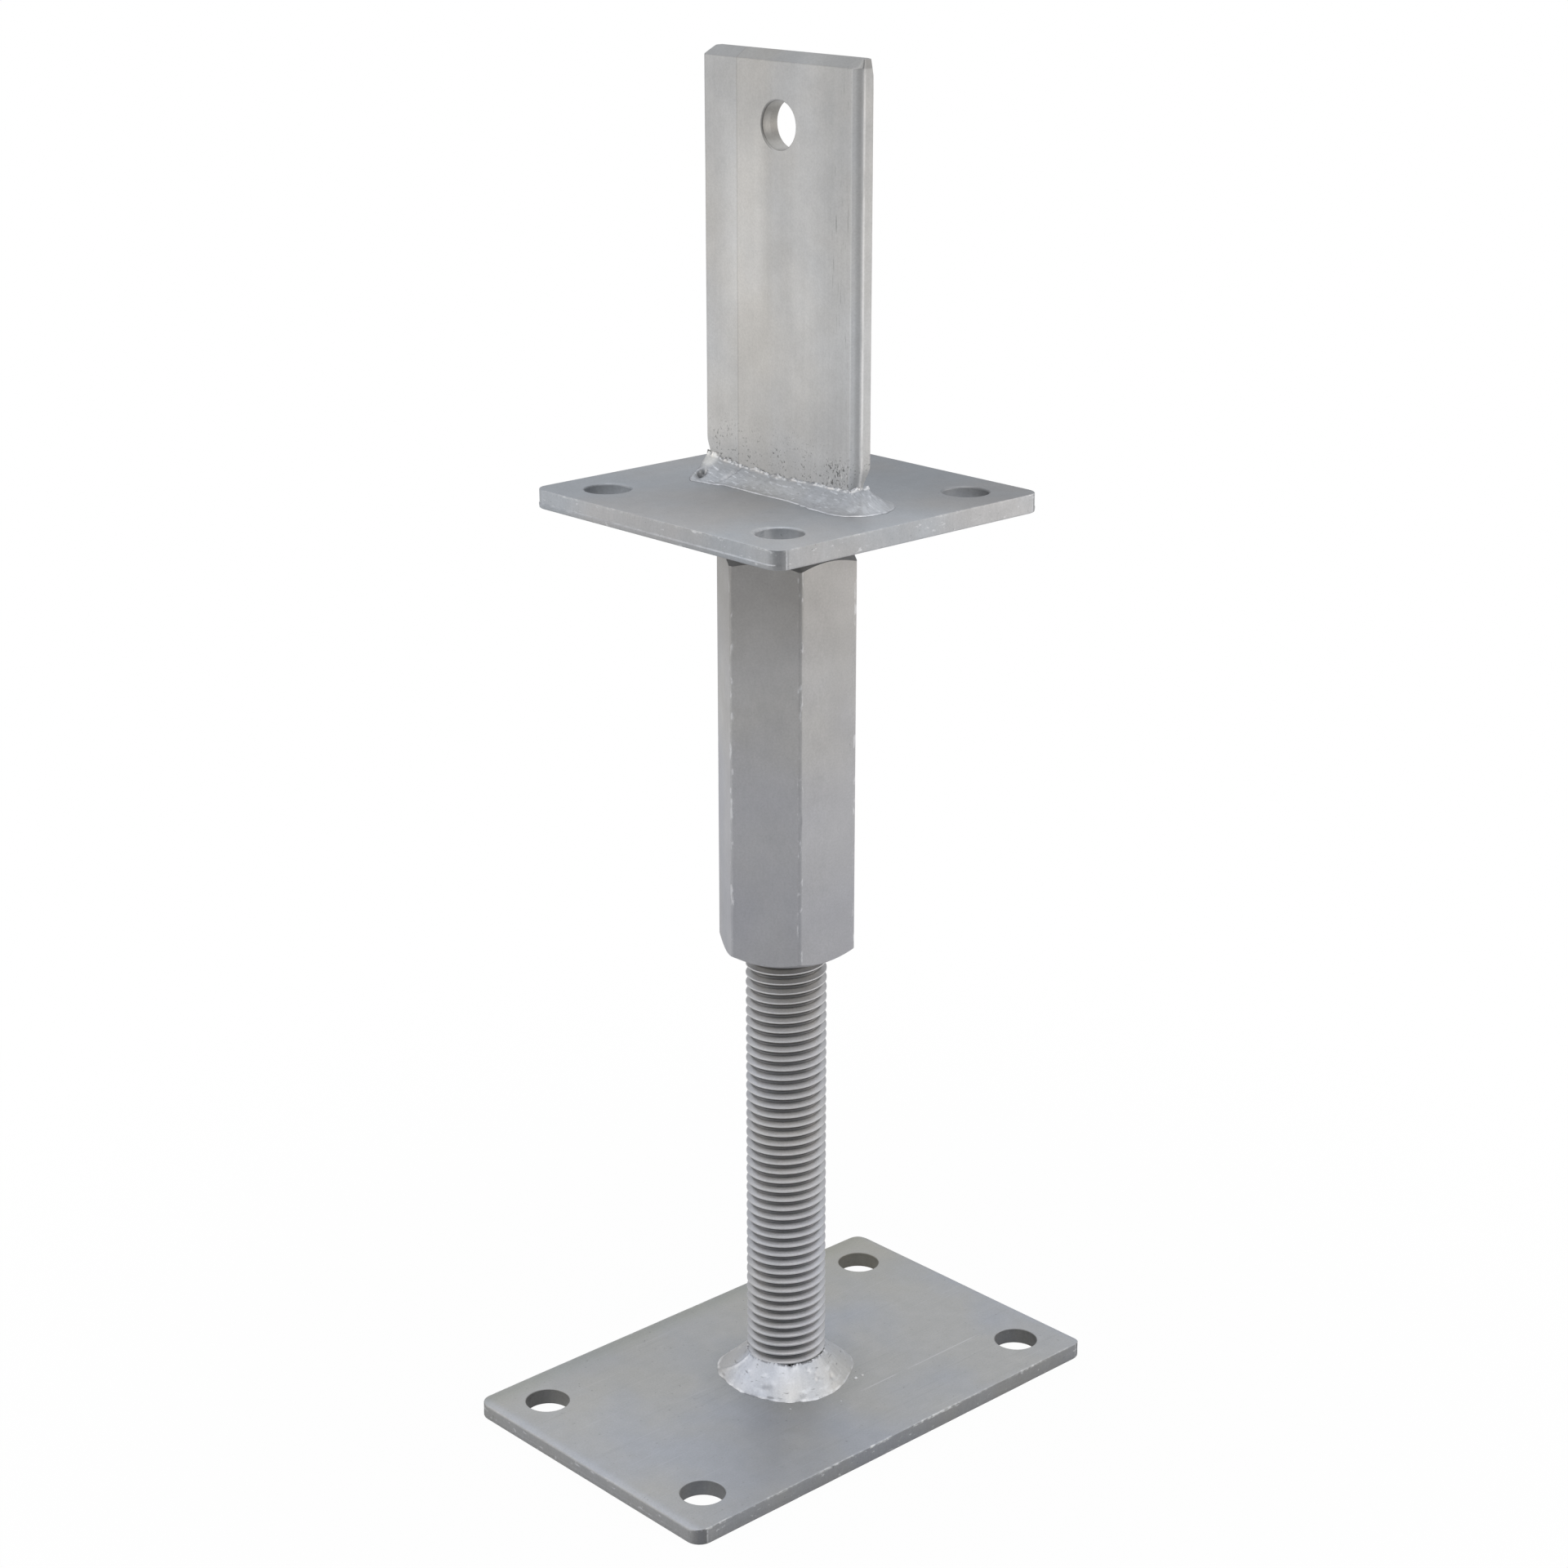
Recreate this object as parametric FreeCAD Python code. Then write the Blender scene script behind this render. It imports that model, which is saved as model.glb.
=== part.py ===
import FreeCAD, Part
import math
import os

# Adjustable post base of zinc-coated steel, in millimetres.
# The base plate is bolted to the foundation and carries a welded threaded rod.
# A long hexagon sleeve screws up and down the rod. It swivels on a headed pin under the head plate,
# whose collar stands on the sleeve and carries the plate.
# A blade stands on the head plate, in a slot of the post, and a dowel through its hole holds the post.
# Origin: centre of the base plate's underside. +Z up, +X along the base plate, +Y along the blade.

Vector = FreeCAD.Vector
UP = Vector(0, 0, 1)
CENTRE_LINE = Vector(0, 0, 0)

# Driving dimensions: plates
PLATE_CORNER_RADIUS = 4.5
BASE_LENGTH = 160.0
BASE_WIDTH = 100.0
BASE_THICKNESS = 5.0
BASE_ROLLED_EDGE = 2.3
HEAD_SIDE = 100.0
HEAD_THICKNESS = 5.5
HEAD_ROLLED_EDGE = 1.2
BOLT_HOLE_DIAMETER = 13.0
BOLT_EDGE_DISTANCE = 15.0

# Driving dimensions: threaded rod, at its crest diameter, and the weld at its foot
ROD_DIAMETER = 24.0
ROD_LENGTH = 170.0
ROD_END_CHAMFER = 2.0
ROD_WELD_LEG = 8.3
ROD_WELD_BULGE = 0.8
ROD_WELD_CONES = 6

# Driving dimensions: hexagon sleeve
SLEEVE_ACROSS_FLATS = 36.0
SLEEVE_LENGTH = 119.5
SLEEVE_BOTTOM = 143.5
SLEEVE_TURN = -2.0
SLEEVE_CHAMFER_ANGLE = 30.0
SLEEVE_END_FACE = 0.93
SLEEVE_NECK_LENGTH = 10.0
SLEEVE_MOUTH_CHAMFER = 1.2
ENVELOPE_MARGIN = 1.0

# Driving dimensions: swivel pin, whose head passes through the sleeve's thread
PIN_DIAMETER = 14.0
PIN_COLLAR_DIAMETER = 24.0
PIN_COLLAR_LENGTH = 10.7
PIN_HEAD_DIAMETER = 20.0
PIN_HEAD_LENGTH = 6.0
PIN_CHAMFER = 1.0

# Driving dimensions: blade, cut from flat bar with one pressed-over side
BLADE_WIDTH = 60.0
BLADE_THICKNESS = 6.0
BLADE_HEIGHT = 118.3
BLADE_LEFT_EDGE_RADIUS = 0.6
BLADE_RIGHT_EDGE_RADIUS = 1.9
BLADE_TOP_BEVEL_RISE = 2.3
BLADE_TOP_BEVEL_DEPTH = 3.6
BLADE_HOLE_DIAMETER = 13.0
BLADE_HOLE_BELOW_TOP = 19.0

# Driving dimensions: weld bead round the blade's foot, as height and reach from the blade
BLADE_WELD_PROFILE = ((0.0, 7.0), (2.2, 4.6), (5.5, 0.6))
BLADE_WELD_TAIL = 1.5
BLADE_WELD_LEAST_FLAT = 0.1

# Play between pieces that turn or slide on each other
RUNNING_CLEARANCE = 0.05
SWIVEL_GAP = 0.1

# Levels that follow from the dimensions above
BASE_TOP = BASE_THICKNESS
SLEEVE_TOP = SLEEVE_BOTTOM + SLEEVE_LENGTH
COLLAR_BOTTOM = SLEEVE_TOP + SWIVEL_GAP
HEAD_BOTTOM = COLLAR_BOTTOM + PIN_COLLAR_LENGTH
HEAD_TOP = HEAD_BOTTOM + HEAD_THICKNESS
NECK_BOTTOM = SLEEVE_TOP - SLEEVE_NECK_LENGTH
PIN_SHOULDER = NECK_BOTTOM - SWIVEL_GAP
BLADE_TOP = HEAD_TOP + BLADE_HEIGHT


def rounded_rectangle(length, width, radius, level):
    """Closed wire of a rectangle with round corners, centred on the axis at a level."""
    half_length = length / 2
    half_width = width / 2
    corner_centres = (
        (half_length - radius, half_width - radius),
        (radius - half_length, half_width - radius),
        (radius - half_length, radius - half_width),
        (half_length - radius, radius - half_width),
    )
    arcs = []
    for quarter, (x, y) in enumerate(corner_centres):
        circle = Part.Circle(Vector(x, y, level), UP, radius)
        start = quarter * math.pi / 2
        arcs.append(Part.Arc(circle, start, start + math.pi / 2).toShape())
    edges = []
    for arc, following in zip(arcs, arcs[1:] + arcs[:1]):
        side = Part.makeLine(arc.Vertexes[-1].Point, following.Vertexes[0].Point)
        edges.extend((arc, side))
    return Part.Wire(edges)


def upright_cylinder(diameter, bottom, top, x=0.0, y=0.0):
    """Cylinder along Z between two levels."""
    return Part.makeCylinder(diameter / 2, top - bottom, Vector(x, y, bottom), UP)


def turned(profile):
    """Solid of revolution about the centre line from a closed list of edges in the XZ plane."""
    return Part.Face(Part.Wire(profile)).revolve(CENTRE_LINE, UP, 360)


def closed_polygon(points):
    """Straight edges round a closed list of points."""
    return Part.makePolygon(list(points) + [points[0]])


def flat_plate(length, width, bottom, top):
    """Plate with round corners."""
    outline = rounded_rectangle(length, width, PLATE_CORNER_RADIUS, bottom)
    return Part.Face(outline).extrude(UP * (top - bottom))


def with_bolt_holes(plate, length, width, bottom, top):
    """The plate with a bolt hole near each corner."""
    hole_x = length / 2 - BOLT_EDGE_DISTANCE
    hole_y = width / 2 - BOLT_EDGE_DISTANCE
    for x in (-hole_x, hole_x):
        for y in (-hole_y, hole_y):
            hole = upright_cylinder(BOLT_HOLE_DIAMETER, bottom, top, x, y)
            plate = plate.cut(hole)
    return plate


def base_plate():
    """Plate under the rod, its upper rim rolled over by the shear at the two short ends."""
    plate = flat_plate(BASE_LENGTH, BASE_WIDTH, 0.0, BASE_TOP)
    for way in (1, -1):
        plate = plate.cut(rolled_end(way))
    return with_bolt_holes(plate, BASE_LENGTH, BASE_WIDTH, 0.0, BASE_TOP)


def rolled_end(way):
    """What the roll-over takes off the base plate's upper rim at its +X or -X end."""
    radius = BASE_ROLLED_EDGE
    end = BASE_LENGTH / 2
    side = -BASE_WIDTH / 2
    slant = radius * math.sqrt(0.5)
    start = Vector(way * (end - radius), side, BASE_TOP)
    middle = Vector(way * (end - radius + slant), side, BASE_TOP - radius + slant)
    stop = Vector(way * end, side, BASE_TOP - radius)
    outside = [
        stop,
        Vector(way * (end + radius), side, BASE_TOP - radius),
        Vector(way * (end + radius), side, BASE_TOP + radius),
        Vector(way * (end - radius), side, BASE_TOP + radius),
        start,
    ]
    edges = [Part.Arc(start, middle, stop).toShape()] + Part.makePolygon(outside).Edges
    return Part.Face(Part.Wire(edges)).extrude(Vector(0, BASE_WIDTH, 0))


def threaded_rod():
    """Rod at its crest diameter, standing on the base plate, with a chamfered upper end."""
    radius = ROD_DIAMETER / 2
    top = BASE_TOP + ROD_LENGTH
    profile = closed_polygon([
        Vector(0, 0, BASE_TOP),
        Vector(radius, 0, BASE_TOP),
        Vector(radius, 0, top - ROD_END_CHAMFER),
        Vector(radius - ROD_END_CHAMFER, 0, top),
        Vector(0, 0, top),
    ])
    return turned(profile.Edges)


def rod_weld():
    """Round fillet weld between the rod and the base plate, its slightly crowned face built up from cones."""
    inner = ROD_DIAMETER / 2
    outer = inner + ROD_WELD_LEG
    top = BASE_TOP + ROD_WELD_LEG
    crown = ROD_WELD_LEG / 2 + ROD_WELD_BULGE / math.sqrt(2)
    root = Vector(inner, 0, BASE_TOP)
    toe = Vector(outer, 0, BASE_TOP)
    face_middle = Vector(inner + crown, 0, BASE_TOP + crown)
    upper_toe = Vector(inner, 0, top)
    crown_line = Part.Arc(toe, face_middle, upper_toe).toShape()
    face = crown_line.discretize(ROD_WELD_CONES + 1)
    return turned(closed_polygon([root] + face).Edges)


def hexagon_bar():
    """Hexagon bar of the sleeve's length, corners on the X axis before the sleeve is turned."""
    corner_radius = SLEEVE_ACROSS_FLATS / math.sqrt(3)
    corners = []
    for corner in range(6):
        angle = math.radians(60 * corner + SLEEVE_TURN)
        x = corner_radius * math.cos(angle)
        y = corner_radius * math.sin(angle)
        corners.append(Vector(x, y, SLEEVE_BOTTOM))
    return Part.Face(closed_polygon(corners)).extrude(UP * SLEEVE_LENGTH)


def turned_ends():
    """Turned envelope that takes the corners off both ends of the hexagon."""
    full_radius = SLEEVE_ACROSS_FLATS / math.sqrt(3) + ENVELOPE_MARGIN
    end_radius = SLEEVE_END_FACE * SLEEVE_ACROSS_FLATS / 2
    chamfer_height = (full_radius - end_radius) * math.tan(math.radians(SLEEVE_CHAMFER_ANGLE))
    profile = closed_polygon([
        Vector(0, 0, SLEEVE_BOTTOM),
        Vector(end_radius, 0, SLEEVE_BOTTOM),
        Vector(full_radius, 0, SLEEVE_BOTTOM + chamfer_height),
        Vector(full_radius, 0, SLEEVE_TOP - chamfer_height),
        Vector(end_radius, 0, SLEEVE_TOP),
        Vector(0, 0, SLEEVE_TOP),
    ])
    return turned(profile.Edges)


def sleeve_bore():
    """Bore with a chamfered mouth for the rod, and the narrower neck for the swivel pin."""
    bore_radius = ROD_DIAMETER / 2 + RUNNING_CLEARANCE
    neck_radius = PIN_DIAMETER / 2 + RUNNING_CLEARANCE
    mouth_radius = bore_radius + SLEEVE_MOUTH_CHAMFER
    profile = closed_polygon([
        Vector(0, 0, SLEEVE_BOTTOM),
        Vector(mouth_radius, 0, SLEEVE_BOTTOM),
        Vector(bore_radius, 0, SLEEVE_BOTTOM + SLEEVE_MOUTH_CHAMFER),
        Vector(bore_radius, 0, NECK_BOTTOM),
        Vector(neck_radius, 0, NECK_BOTTOM),
        Vector(neck_radius, 0, SLEEVE_TOP),
        Vector(0, 0, SLEEVE_TOP),
    ])
    return turned(profile.Edges)


def hex_sleeve():
    return hexagon_bar().common(turned_ends()).cut(sleeve_bore())


def pivot_pin():
    """Headed pin in the sleeve's neck, with a collar between the sleeve and the head plate."""
    shank_radius = PIN_DIAMETER / 2
    head_radius = PIN_HEAD_DIAMETER / 2
    collar_radius = PIN_COLLAR_DIAMETER / 2
    head_bottom = PIN_SHOULDER - PIN_HEAD_LENGTH
    profile = closed_polygon([
        Vector(0, 0, head_bottom),
        Vector(head_radius - PIN_CHAMFER, 0, head_bottom),
        Vector(head_radius, 0, head_bottom + PIN_CHAMFER),
        Vector(head_radius, 0, PIN_SHOULDER),
        Vector(shank_radius, 0, PIN_SHOULDER),
        Vector(shank_radius, 0, COLLAR_BOTTOM),
        Vector(collar_radius - PIN_CHAMFER, 0, COLLAR_BOTTOM),
        Vector(collar_radius, 0, COLLAR_BOTTOM + PIN_CHAMFER),
        Vector(collar_radius, 0, HEAD_BOTTOM),
        Vector(shank_radius, 0, HEAD_BOTTOM),
        Vector(shank_radius, 0, HEAD_TOP),
        Vector(0, 0, HEAD_TOP),
    ])
    return turned(profile.Edges)


def head_plate():
    """Square plate under the post, its lower rim rolled over by the blanking tool."""
    plate = flat_plate(HEAD_SIDE, HEAD_SIDE, HEAD_BOTTOM, HEAD_TOP)
    lower_rim = [edge for edge in plate.Edges if edge.BoundBox.ZMax < HEAD_BOTTOM + HEAD_THICKNESS / 2]
    plate = plate.makeFillet(HEAD_ROLLED_EDGE, lower_rim)
    plate = with_bolt_holes(plate, HEAD_SIDE, HEAD_SIDE, HEAD_BOTTOM, HEAD_TOP)
    pin_hole_diameter = PIN_DIAMETER + 2 * RUNNING_CLEARANCE
    return plate.cut(upright_cylinder(pin_hole_diameter, HEAD_BOTTOM, HEAD_TOP))


def blade():
    """Upright flat bar with a bevelled top, a dowel hole and round front edges, the right one more so."""
    front = -BLADE_THICKNESS / 2
    back = BLADE_THICKNESS / 2
    side = -BLADE_WIDTH / 2
    section = closed_polygon([
        Vector(front, side, HEAD_TOP),
        Vector(back, side, HEAD_TOP),
        Vector(back, side, BLADE_TOP),
        Vector(front + BLADE_TOP_BEVEL_DEPTH, side, BLADE_TOP),
        Vector(front, side, BLADE_TOP - BLADE_TOP_BEVEL_RISE),
    ])
    bar = Part.Face(section).extrude(Vector(0, BLADE_WIDTH, 0))
    for y, radius in ((side, BLADE_RIGHT_EDGE_RADIUS), (-side, BLADE_LEFT_EDGE_RADIUS)):
        edges = [edge for edge in bar.Edges if is_front_upright(edge, front, y)]
        bar = bar.makeFillet(radius, edges)
    hole_centre = Vector(front, 0, BLADE_TOP - BLADE_HOLE_BELOW_TOP)
    hole = Part.makeCylinder(BLADE_HOLE_DIAMETER / 2, BLADE_THICKNESS, hole_centre, Vector(1, 0, 0))
    return bar.cut(hole)


def is_front_upright(edge, front, side):
    """True for the upright edge between the blade's front face and one of its sides."""
    box = edge.BoundBox
    at_front = box.XLength < 1e-6 and abs(box.XMax - front) < 1e-6
    return at_front and box.YLength < 1e-6 and abs(box.YMax - side) < 1e-6


def blade_weld(blade_shape):
    """Fillet weld that runs all round the blade's foot, longer past the blade's two ends."""
    sections = []
    for height, reach in BLADE_WELD_PROFILE:
        length = BLADE_THICKNESS + 2 * reach
        width = BLADE_WIDTH + 2 * reach * (1 + BLADE_WELD_TAIL / BLADE_WELD_PROFILE[0][1])
        corner = min(reach, length / 2 - BLADE_WELD_LEAST_FLAT)
        sections.append(rounded_rectangle(length, width, corner, HEAD_TOP + height))
    bead = Part.makeLoft(sections, True, True)
    return bead.cut(blade_shape)


def build():
    blade_shape = blade()
    return {
        "base_plate": base_plate(),
        "threaded_rod": threaded_rod(),
        "rod_weld": rod_weld(),
        "hex_sleeve": hex_sleeve(),
        "pivot_pin": pivot_pin(),
        "head_plate": head_plate(),
        "blade": blade_shape,
        "blade_weld": blade_weld(blade_shape),
    }


os.makedirs("parts", exist_ok=True)
for node, shape in build().items():
    solid = shape.Solids[0]
    valid = solid.isValid() and len(shape.Solids) == 1
    print(node, "valid" if valid else "INVALID", round(solid.Volume, 1), "mm3")
    solid.exportStep("parts/" + node + ".step")
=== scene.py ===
"""Adjustable post base of zinc-coated steel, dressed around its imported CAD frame.

Each visible piece is modelled again with the marks of its making: sheared plate edges, a rolled thread,
a turned hexagon bar, a pressed flat bar and two hand-laid weld beads. Lengths are in metres.
"""
import math

import bmesh
import bpy
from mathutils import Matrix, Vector, noise


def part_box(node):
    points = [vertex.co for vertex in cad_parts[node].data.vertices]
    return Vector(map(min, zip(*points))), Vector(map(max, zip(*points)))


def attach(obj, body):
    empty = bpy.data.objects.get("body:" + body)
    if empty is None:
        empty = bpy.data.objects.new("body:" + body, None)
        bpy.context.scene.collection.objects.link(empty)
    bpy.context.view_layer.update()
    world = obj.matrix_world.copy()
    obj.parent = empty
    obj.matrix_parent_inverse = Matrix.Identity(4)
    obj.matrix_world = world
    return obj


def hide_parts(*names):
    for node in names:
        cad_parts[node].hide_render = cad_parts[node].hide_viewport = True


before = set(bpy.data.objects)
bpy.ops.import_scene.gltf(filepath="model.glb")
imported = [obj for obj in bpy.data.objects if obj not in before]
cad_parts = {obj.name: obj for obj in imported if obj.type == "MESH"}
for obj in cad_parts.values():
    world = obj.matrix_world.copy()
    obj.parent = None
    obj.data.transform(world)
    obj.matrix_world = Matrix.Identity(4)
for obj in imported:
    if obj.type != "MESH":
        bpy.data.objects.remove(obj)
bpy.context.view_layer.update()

MM = 0.001
AXES = {"x": Vector((1, 0, 0)), "y": Vector((0, 1, 0)), "z": Vector((0, 0, 1))}
TINY = 0.01 * MM
SMOOTH_BELOW = math.radians(32)
SHARP_ABOVE = math.radians(15)
SEED_STEPS = (1.0, 1.7, 2.3)


# Small tools for modelling

def take(piece):
    """Makes a piece the only selected object."""
    bpy.ops.object.select_all(action='DESELECT')
    piece.select_set(True)
    bpy.context.view_layer.objects.active = piece


def add_piece(name, add, **shape):
    """Adds a primitive, names it and puts its place into its mesh."""
    bpy.ops.object.select_all(action='DESELECT')
    add(**shape)
    bpy.ops.object.transform_apply(location=True, rotation=True, scale=True)
    piece = bpy.context.active_object
    piece.name = name
    piece.data.name = name
    return piece


def block(name, low, high):
    """Box between two corners."""
    return add_piece(name, bpy.ops.mesh.primitive_cube_add, size=1, location=(low + high) / 2,
                     scale=high - low)


def bar(name, radius, bottom, top, sides, centre=(0, 0), turn=0.0):
    """Upright bar with a number of sides, its first corner at the given angle from +X."""
    place = (centre[0], centre[1], (bottom + top) / 2)
    return add_piece(name, bpy.ops.mesh.primitive_cylinder_add, vertices=sides, radius=radius,
                     depth=top - bottom, location=place, rotation=(0, 0, turn - math.pi / 2))


def edit(piece):
    """Opens a piece in edit mode."""
    take(piece)
    bpy.ops.object.mode_set(mode='EDIT')


def close():
    """Leaves edit mode."""
    bpy.ops.object.mode_set(mode='OBJECT')


def pick(piece, domain, wanted):
    """Selects, in edit mode, the vertices, edges or faces that pass a test."""
    bpy.ops.mesh.select_mode(type=domain)
    bpy.ops.mesh.select_all(action='DESELECT')
    mesh = bmesh.from_edit_mesh(piece.data)
    elements = {'VERT': mesh.verts, 'EDGE': mesh.edges, 'FACE': mesh.faces}[domain]
    for element in elements:
        if wanted(element):
            element.select_set(True)
    bmesh.update_edit_mesh(piece.data)


def round_edges(piece, wanted, size, steps):
    """Bevels the edges that pass a test."""
    pick(piece, 'EDGE', wanted)
    bpy.ops.mesh.bevel(offset=size, segments=steps, affect='EDGES', clamp_overlap=False, loop_slide=False)


def cut_across(axis, places):
    """Adds edges to the piece in edit mode where planes across an axis cut it."""
    for place in places:
        bpy.ops.mesh.select_all(action='SELECT')
        bpy.ops.mesh.bisect(plane_co=AXES[axis] * place, plane_no=AXES[axis], threshold=TINY)


def slice_off(place, way):
    """Cuts off what lies beyond a plane, in edit mode, and closes the piece there."""
    bpy.ops.mesh.select_all(action='SELECT')
    bpy.ops.mesh.bisect(plane_co=place, plane_no=Vector(way).normalized(), use_fill=True, clear_outer=True,
                        threshold=TINY)
    bpy.ops.mesh.select_all(action='SELECT')
    bpy.ops.mesh.normals_make_consistent(inside=False)


def modify(piece, kind, **settings):
    """Applies a modifier to a piece."""
    take(piece)
    modifier = piece.modifiers.new(kind.lower(), kind)
    for name, value in settings.items():
        setattr(modifier, name, value)
    bpy.ops.object.modifier_apply(modifier=modifier.name)


def carve(piece, tool, operation='DIFFERENCE'):
    """Takes a tool shape out of a piece, or keeps what they share, and throws the tool away."""
    modify(piece, 'BOOLEAN', operation=operation, object=tool, solver='EXACT')
    bpy.data.objects.remove(tool, do_unlink=True)


def reshape(piece, moved):
    """Moves every vertex to where a function puts it."""
    for vertex in piece.data.vertices:
        vertex.co = moved(vertex.co.copy())
    piece.data.update()


def weld_points(piece):
    """Joins doubled points and turns all faces outwards."""
    edit(piece)
    bpy.ops.mesh.select_all(action='SELECT')
    bpy.ops.mesh.remove_doubles(threshold=TINY / 10)
    bpy.ops.mesh.normals_make_consistent(inside=False)
    close()


def smooth(piece, angle=SMOOTH_BELOW):
    """Smooth shading that leaves edges sharper than an angle crisp, and large faces level."""
    take(piece)
    bpy.ops.object.shade_smooth_by_angle(angle=angle)
    modify(piece, 'WEIGHTED_NORMAL', keep_sharp=True)


def wander(point, size, seed=0.0):
    """Smooth seeded noise between about -1 and 1, with swells of the given size."""
    return noise.noise(point / size + Vector([seed * step for step in SEED_STEPS]))


def ease(value):
    """Smooth step from 0 to 1."""
    value = min(max(value, 0.0), 1.0)
    return value * value * (3 - 2 * value)


def between(stations, place, length):
    """Value at a place on a closed path of a given length, eased between the stations beside it."""
    first = stations[0][0]
    place = first + (place - first) % length
    ends = stations[1:] + ((first + length, stations[0][1]),)
    for (start, value), (end, following) in zip(stations, ends):
        if place <= end:
            return value + (following - value) * ease((place - start) / (end - start))
    return stations[0][1]


def at_level(edge, level):
    """True for an edge that lies flat at a height."""
    return all(abs(vertex.co.z - level) < TINY for vertex in edge.verts)


def is_upright(edge):
    """True for an edge along Z."""
    run = edge.verts[0].co - edge.verts[1].co
    return abs(run.z) > TINY and run.xy.length < TINY


def on_round(edge, centre, radius, level):
    """True for an edge of an upright hole's rim."""
    for vertex in edge.verts:
        away = (vertex.co.xy - Vector(centre)).length
        if abs(away - radius) > TINY or abs(vertex.co.z - level) > TINY:
            return False
    return True


# Sheared plates with four bolt holes

PLATE_CORNER = 4.5 * MM
PLATE_CORNER_STEPS = 6
PLATE_RIM = 0.3 * MM
PLATE_RIM_STEPS = 2
SIDE_REACH = 1.5 * PLATE_RIM
BOLT_RADIUS = 6.5 * MM
BOLT_INSET = 15 * MM
BOLT_SIDES = 56
HOLE_RIM_STEPS = 3
CELL = 4 * MM
CLEAR_OF_BOLT = 7.6 * MM
EDGE_CELLS = (0.7 * MM, 1.2 * MM, 1.8 * MM, 2.6 * MM, 4.4 * MM)
SIDE_CELL = 0.3 * MM
SIDE_CELLS = 6
SURFACE_SWELL = 0.05 * MM
SURFACE_SWELL_SIZE = 22 * MM
EDGE_WANDER = 0.12 * MM
EDGE_WANDER_SIZE = 5 * MM
LIP_HEIGHT = 1.45 * MM
LIP_RISE = 0.2 * MM
LIP_FADE = 2


def cell_places(half):
    """Where a plate is cut into cells: close to its edges, and evenly between, but not through the holes."""
    places = []
    for inset in EDGE_CELLS:
        places.extend((inset - half, half - inset))
    steps = int((half - 2 * CELL) / CELL)
    for step in range(-steps, steps + 1):
        place = step * CELL
        if abs(abs(place) - (half - BOLT_INSET)) > CLEAR_OF_BOLT:
            places.append(place)
    return places


def sheared_plate(name, low, high, hole_rim):
    """Plate with round corners and four holes, cut into small cells so that its faces can wander."""
    plate = block(name, low, high)
    edit(plate)
    round_edges(plate, is_upright, PLATE_CORNER, PLATE_CORNER_STEPS)
    for level in (low.z, high.z):
        round_edges(plate, lambda edge: at_level(edge, level), PLATE_RIM, PLATE_RIM_STEPS)
    cut_across("x", cell_places(high.x))
    cut_across("y", cell_places(high.y))
    cut_across("z", [low.z + (step + 1.5) * SIDE_CELL for step in range(SIDE_CELLS)])
    close()
    for x in (BOLT_INSET - high.x, high.x - BOLT_INSET):
        for y in (BOLT_INSET - high.y, high.y - BOLT_INSET):
            drill_plate(plate, (x, y), low.z, high.z, hole_rim)
    return plate


def drill_plate(plate, centre, bottom, top, rim):
    """Bolt hole with rounded rims."""
    drill = bar("drill", BOLT_RADIUS, bottom - CELL, top + CELL, BOLT_SIDES, centre)
    carve(plate, drill)
    edit(plate)
    for level in (bottom, top):
        round_edges(plate, lambda edge: on_round(edge, centre, BOLT_RADIUS, level), rim, HOLE_RIM_STEPS)
    close()


def outline(point, high):
    """How far inside a plate's round-cornered outline a point lies, and the level way outwards there."""
    past = Vector((abs(point.x) - high.x + PLATE_CORNER, abs(point.y) - high.y + PLATE_CORNER, 0))
    if min(past.x, past.y) > 0:
        gap = PLATE_CORNER - past.length
        way = past.normalized()
    else:
        gap = PLATE_CORNER - max(past.x, past.y)
        way = AXES["x"] if past.x > past.y else AXES["y"]
    return gap, Vector((math.copysign(way.x, point.x), math.copysign(way.y, point.y), 0))


def sheared_side(point, low, high, lip_step, roll, seed):
    """Moves a point of a plate's side, which wanders.

    The two ends across X are set back above the lip that the shear left, and roll under below it.
    """
    gap, outwards = outline(point, high)
    if gap > SIDE_REACH:
        return point
    above = point.z - low.z
    end = abs(outwards.x) ** LIP_FADE
    below_lip = min(max(1 - above / LIP_HEIGHT, 0.0), 1.0)
    depth = EDGE_WANDER * (0.5 + 0.5 * wander(point, EDGE_WANDER_SIZE, seed))
    depth += lip_step * end * ease((above - LIP_HEIGHT) / LIP_RISE)
    depth += roll * end * (1 - math.sqrt(1 - below_lip ** 2))
    return point - outwards * depth


BASE_ROLL_WIDTH = 2.6 * MM
BASE_ROLL_DEPTH = 1.4 * MM
BASE_LONG_ROLL_WIDTH = 4.6 * MM
BASE_LONG_ROLL_DEPTH = 0.45 * MM
BASE_LIP_STEP = 0.08 * MM
BASE_HOLE_RIM = 0.35 * MM


def rolled_base(low, high):
    """Base plate whose short ends and back long side are rolled over by the shear."""
    middle = (low.z + high.z) / 2

    def moved(point):
        point = sheared_side(point, low, high, BASE_LIP_STEP, roll=0.0, seed=1.0)
        if point.z > middle:
            from_end = max(min(point.x - low.x, high.x - point.x), 0.0)
            over = max(1 - from_end / BASE_ROLL_WIDTH, 0.0)
            point.z -= BASE_ROLL_DEPTH * (1 - math.sqrt(1 - over ** 2))
            point.z -= BASE_LONG_ROLL_DEPTH * (1 - ease((high.y - point.y) / BASE_LONG_ROLL_WIDTH))
            point.z -= SURFACE_SWELL * (1 + wander(point, SURFACE_SWELL_SIZE))
        return point

    plate = sheared_plate("base_plate_steel", low, high, BASE_HOLE_RIM)
    reshape(plate, moved)
    smooth(plate)
    return plate


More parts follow.
